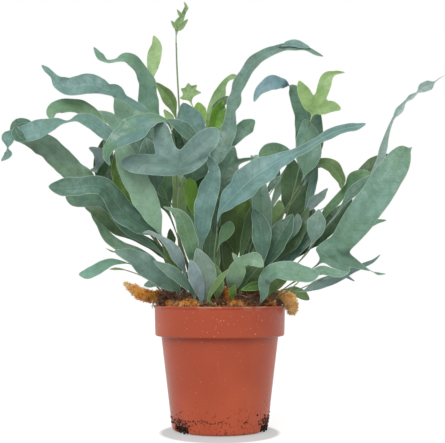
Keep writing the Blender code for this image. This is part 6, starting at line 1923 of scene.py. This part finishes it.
        (-3.6, 0.4, 15.4), (-4.3, 0.4, 16.8, 0.3), (-4.5, 0.4, 17.4, 0.9), (-4.6, 0.4, 18.4)]),
    Frond("olive_gap_left", Leaf.OLIVE, FRONT, (-3, -1.8), [
        (-3.5, -1.9, 14.3, 0.3), (-4, -2, 15.2, 1), (-4.5, -2.1, 16, 0.9), (-5, -2.1, 16.8)]),
    Frond("forest_on_soil_left", Leaf.GREY, SKY, (-3.4, -2.5), [
        (-4.2, -2.7, 13.2, 0.5), (-5, -2.6, 13.45, 0.8), (-5.8, -2.5, 13.35, 0.8),
        (-6.4, -2.4, 13.2, 0.6), (-6.8, -2.4, 13.1)]),
    Frond("withered_left", Leaf.OLIVE, SKY, (-4.4, -0.6), [
        (-6.4, -0.6, 13.6), (-8.2, -0.5, 14.4), (-8.9, -0.5, 14.6, 0.15), (-9.6, -0.5, 14.65, 0.25),
        (-10.1, -0.5, 14.6)]),
    Frond("lilac_behind_left", Leaf.DEEP, FRONT, (-2.8, 2.6), [
        (-7, 3.6, 19), (-9.8, 5.2, 22.3, 0.4), (-10.9, 5.4, 23.6, 2.2), (-11.3, 5.5, 25, 2.2),
        (-11.4, 5.5, 26.4, 1.5), (-11.3, 5.5, 27.6)]),
    Frond("folded_green_half", Leaf.TENDER, (0.4, -1, 0.2), (-0.8, 3.1), [
        (-3.5, 3.4, 20), (-4.2, 3.5, 27.4), (-4.5, 3.5, 28.4, 0.5), (-4.9, 3.5, 29.3, 0.9),
        (-5.4, 3.5, 30.1)]),
    Frond("dark_behind_bright", Leaf.FOREST, (-0.3, -1, 0.2), (0.3, 4.1), [
        (-0.2, 3.8, 20), (-0.7, 3.8, 29.5, 0.3), (-0.3, 3.75, 30.2, 0.9), (0.3, 3.7, 30.9, 1),
        (0.9, 3.7, 31.4)]),
    Frond("forest_right_inner", Leaf.FOREST, (-0.2, -1, 0.2), (3, -1.4), [
        (4.6, -1.4, 14.9), (5.6, -1.3, 15.9, 0.4), (6.5, -1.3, 17, 1.4), (7.2, -1.3, 18.3, 1.4),
        (7.8, -1.3, 19.6, 0.6), (8.1, -1.3, 20.3)]),
    Frond("forest_right_low", Leaf.DARK, (-0.2, -1, 0.2), (3.3, -0.5), [
        (4.8, -0.5, 14.4, 0.4), (6, -0.5, 15.6, 1.3), (7.2, -0.5, 16.8, 1.5),
        (8.2, -0.5, 17.8, 1.2), (9, -0.5, 18.8, 0.5), (9.4, -0.5, 19.3)]),
    Frond("forest_right_round", Leaf.FOREST, FRONT, (2.9, 1.2), [
        (5.5, 1.4, 16.6), (7.4, 1.5, 18.6, 0.3), (7.9, 1.5, 19.4, 1.3), (8.2, 1.5, 20.1, 1.1),
        (8.5, 1.5, 20.8)]),
    Frond("lilac_right_inner", Leaf.GREY, FRONT, (3.3, -1.9), [
        (4.7, -2, 15.2), (6.3, -2, 17.4, 0.3), (6.8, -2, 18.2, 0.7), (7, -2, 18.9, 0.8),
        (7, -2, 19.6)]),
    Frond("deep_right_base", Leaf.DEEP, FRONT, (2.4, 0.6), [
        (3.6, 0.8, 14.2, 0.9), (4.8, 0.9, 15.6, 1.9), (6, 0.9, 17, 1.9), (6.9, 0.9, 18.4, 1.1),
        (7.4, 0.9, 19.2)]),
    Frond("deep_right_middle", Leaf.FERN, FRONT, (1.9, 0.3), [
        (2.6, 0.4, 14.4, 1), (3.3, 0.5, 16.2, 2.2), (3.9, 0.5, 18.2, 2.1), (4.4, 0.5, 19.8, 1.2),
        (4.7, 0.5, 21)]),
    Frond("narrow_olive_right", Leaf.ASH, FRONT, (2, 2), [
        (3.6, 2.2, 17.6), (4.9, 2.3, 20.6, 0.3), (5.4, 2.4, 21.8, 0.7), (5.9, 2.4, 23, 0.9),
        (6.4, 2.4, 24.4)]),
    Frond("tip_behind_broad", Leaf.PALE, LEANING, (3.9, -0.9), [
        (8.3, -1.2, 14.6), (11.6, -1.7, 16.9), (13.2, -2, 18.2, 0.3), (14, -2, 18.8, 0.5),
        (15, -2, 19)]),
    Frond("tip_low_right", Leaf.SLATE, SKY, (4.5, -0.6), [
        (7.5, -0.8, 12.9), (10.3, -0.8, 13.9, 0.2), (11.3, -0.8, 14, 0.4), (12.3, -0.8, 13.5)]),
    Frond("dark_over_lobed", Leaf.NIGHT, FRONT, (-2.3, 1.7), [
        (-6.2, 2.4, 18), (-9.1, 3.4, 20.9), (-9.9, 3.8, 21.9, 0.3), (-10.6, 4, 22.8, 1.8),
        (-10.9, 4.1, 23.7, 2), (-10.7, 4.2, 24.7, 1.4), (-10.4, 4.2, 25.8)]),
    Frond("grey_before_drooping", Leaf.SEA, FRONT, (2.6, -0.5), [
        (4.2, -0.5, 17.4), (6.6, -0.6, 21.1), (7.8, -0.6, 23.4, 0.4), (8, -0.65, 24.2, 1.7),
        (8.1, -0.7, 25.2, 2.3), (8.1, -0.7, 26.4, 2.2), (8, -0.7, 27.4, 1.6), (7.8, -0.7, 28.4)]),
    Frond("olive_under_bent", Leaf.FOLDED, FRONT, (3.6, -3.5), [
        (4.5, -4.5, 12.7, 0.4), (5, -5, 13.3, 1), (5.4, -5.2, 13.8, 1), (5.8, -5.3, 14.3)]),
    Frond("deep_under_bent", Leaf.DEEP, FRONT, (3.4, -3), [
        (3.9, -3.5, 12.5, 0.8), (4.4, -3.7, 13.1, 1.6), (4.8, -3.8, 13.9, 1.6), (5.3, -3.8, 14.8)]),
    Frond("forest_behind_folded", Leaf.DEEP, FRONT, (1.9, -2.9), [
        (2.6, -3.2, 13.1, 0.8), (3, -3.4, 14.2, 1.5), (3.2, -3.4, 15.4, 1.4), (3.2, -3.3, 16.6)]),
    Frond("teal_under_crossing", Leaf.MINT, (0.2, -1, 0.2), (1.9, -1.9), [
        (2.7, -2.1, 16.5), (3.5, -2.3, 19, 0.4), (3.4, -2.4, 20.3, 1.1), (3.3, -2.5, 21.3, 1.1),
        (3.8, -2.5, 22.1)]),
    Frond("withered_high_left", Leaf.FOLDED, SKY, (-4.1, -0.9), [
        (-6.6, -0.4, 15.3), (-8.9, -0.1, 16.1), (-9.5, 0, 16.15, 0.08), (-10, 0, 16.3, 0.15),
        (-10.5, 0, 16.55)]),
    Frond("night_by_bright", Leaf.NIGHT, FRONT, (-0.5, -0.7), [
        (-1.2, -0.9, 18.5), (-1.6, -1, 20.8, 0.3), (-1.75, -1, 22, 1.2), (-1.6, -1, 23.2, 1.2),
        (-1.4, -1, 24.2)]),
    Frond("rear_fan_centre_left", Leaf.GREY, BACK, (-1.9, 5), [
        (-2.1, 6.2, 15), (-2.3, 7, 16.8, 0.4), (-2.5, 7.6, 18.4, 1.7), (-2.7, 8.2, 19.9, 1.8),
        (-2.8, 9.2, 20.9, 1.2), (-2.8, 10, 20.9)]),
    Frond("rear_fan_centre", Leaf.DARK, BACK, (0.9, 4.9), [
        (1.3, 6, 15.6), (1.5, 6.7, 17.4, 0.4), (1.7, 7.2, 19, 1.7), (1.8, 7.7, 20.6, 1.8),
        (1.8, 8.5, 21.9, 1.2), (1.8, 9.3, 22.2)]),
    Frond("rear_fan_right", Leaf.BLUE, BACK, (2.6, 4.5), [
        (3.3, 5.7, 15.5), (3.8, 6.4, 17.3, 0.4), (4.2, 6.9, 18.8, 1.6), (4.5, 7.4, 20.3, 1.8),
        (4.7, 8.2, 21.5, 1.2), (4.8, 9, 21.8)]),
    Frond("rear_low_right", Leaf.DARK, BACK, (1, 5.4), [
        (1.5, 7.4, 13.2), (1.8, 8.8, 13.9, 0.4), (2.1, 10.3, 14.1, 1.5), (2.4, 11.8, 13.6, 1.5),
        (2.6, 13, 12.4)]),
    Frond("rear_low_left", Leaf.SEA, BACK, (-2.2, 5), [
        (-2.9, 6.8, 13.4), (-3.4, 8.2, 14.2, 0.4), (-3.9, 9.6, 14.4, 1.5), (-4.4, 11, 13.9, 1.5),
        (-4.8, 12.2, 12.8)]),
    Frond("rear_young", Leaf.YOUNG, BACK, (0, 5.3), [
        (0.1, 6, 13.8), (0.1, 6.3, 15, 0.2), (0.15, 6.6, 16, 0.9), (0.2, 6.9, 17, 1),
        (0.2, 7.4, 17.8)]),
    Frond("dark_by_drooping_tip", Leaf.DARK, FRONT, (3, 2.4), [
        (6.6, 3.3, 16.8), (7.95, 3.4, 20.8, 0.5), (8.3, 3.4, 22.6, 1.5), (8.2, 3.4, 24.1, 1.5),
        (7.9, 3.4, 25.5, 0.9), (7.6, 3.4, 26.5)]),
    Frond("moss_behind_pale", Leaf.MOSS, FRONT, (-2.3, 0.6), [
        (-6.2, 1.4, 17.6), (-8.5, 1.5, 20.9, 0.6), (-9.1, 1.5, 22.1, 1.2), (-9.45, 1.5, 23.3, 1.3),
        (-9.75, 1.5, 24.4, 1), (-9.9, 1.5, 25.2)]),
    Frond("shade_behind_upright", Leaf.SHADE, FRONT, (0.3, -1.6), [
        (-0.2, -1.5, 15.6), (-0.5, -1.5, 17.6, 0.3), (-0.45, -1.5, 18.9, 1),
        (-0.3, -1.5, 20.2, 0.9), (-0.2, -1.5, 21.2)]),
    Frond("shade_by_slim_upright", Leaf.SHADE, FRONT, (1.5, 1.5), [
        (2.6, 1.7, 17), (2.9, 1.7, 19.2, 0.3), (3, 1.7, 20.4, 0.8), (3, 1.7, 21.4, 0.7),
        (3.05, 1.7, 22.4)]),
    Frond("back_low_right_inner", Leaf.GREEN, BACK, (1.2, 4.9), [
        (2, 7.2, 15.5), (2.8, 9.4, 17.4, 0.4), (3.6, 11.6, 18, 1.5), (4.4, 13.6, 17.2, 1.6),
        (5, 15.2, 15.6)]),
]

RHIZOMES = [
    Rhizome("rhizome_left", [
        lying(-4.3, -1, 0.3), lying(-4.8, -1, 0.5), (-5.8, -1, 12.1, 0.58), (-6.9, -1, 12.25, 0.55),
        (-7.8, -1, 12.75, 0.42), (-8.25, -1, 13.05, 0.23),
        (-8.65, -1, 13.35, 0.05)], 1700, (0.35, 1.35)),
    Rhizome("rhizome_front", [
        lying(-4, -3.9, 0.2), lying(-3.3, -4.4, 0.35), lying(-2.4, -4.9, 0.35),
        lying(-1.7, -5.2, 0.2)], 700, (0.7, 0.5)),
    Rhizome("rhizome_centre", [
        lying(0.6, -5.2, 0.2), lying(1.3, -5.2, 0.3), lying(2.2, -5, 0.2)], 450, (0.35, 0.25)),
    Rhizome("rhizome_right", [
        lying(4.2, -1.2, 0.3), lying(4.8, -1.3, 0.5), (5.6, -1.4, 12.1, 0.62),
        (6.3, -1.5, 11.8, 0.64), (6.5, -1.5, 11.2, 0.56),
        (6.5, -1.5, 10.5, 0.2)], 1500, (0.95, 1.3)),
]

BUDS = [
    Rhizome("bud_centre", [
        lying(1, -4.6, 0.2), (0.8, -4.6, 11.9, 0.35), (0.5, -4.5, 12.4, 0.36),
        (0.3, -4.4, 12.9, 0.12)], 360, (0.1, 0.6)),
    Rhizome("bud_right", [
        lying(3.7, -3.7, 0.2), lying(4.3, -3.4, 0.42), lying(4.8, -2.8, 0.3)], 360, (0.1, 0.7)),
    Rhizome("bud_left", [
        lying(-4.7, -2.6, 0.2), lying(-4.4, -3.1, 0.3), lying(-4, -3.6, 0.2)], 260, (0.6, 0.9)),
]


def main() -> None:
    """Builds the studio and every piece."""
    logging.basicConfig(level=logging.INFO, format="%(message)s")
    bpy.ops.object.select_all(action="DESELECT")
    Studio().build()
    NurseryPot().build()
    GrowingMedium().build()
    for rhizome in RHIZOMES:
        rhizome.build(rhizome.name)
    for bud in BUDS:
        bud.build()
    stalk = StalkFinish().material()
    for frond in [*LEFT_FRONDS, *CENTRE_FRONDS, *RIGHT_FRONDS, *REAR_FRONDS]:
        frond.build(stalk, f"frond_{frond.name}")
    for frond in SMALL_FRONDS:
        frond.build(stalk)


if __name__ == "__main__":
    main()
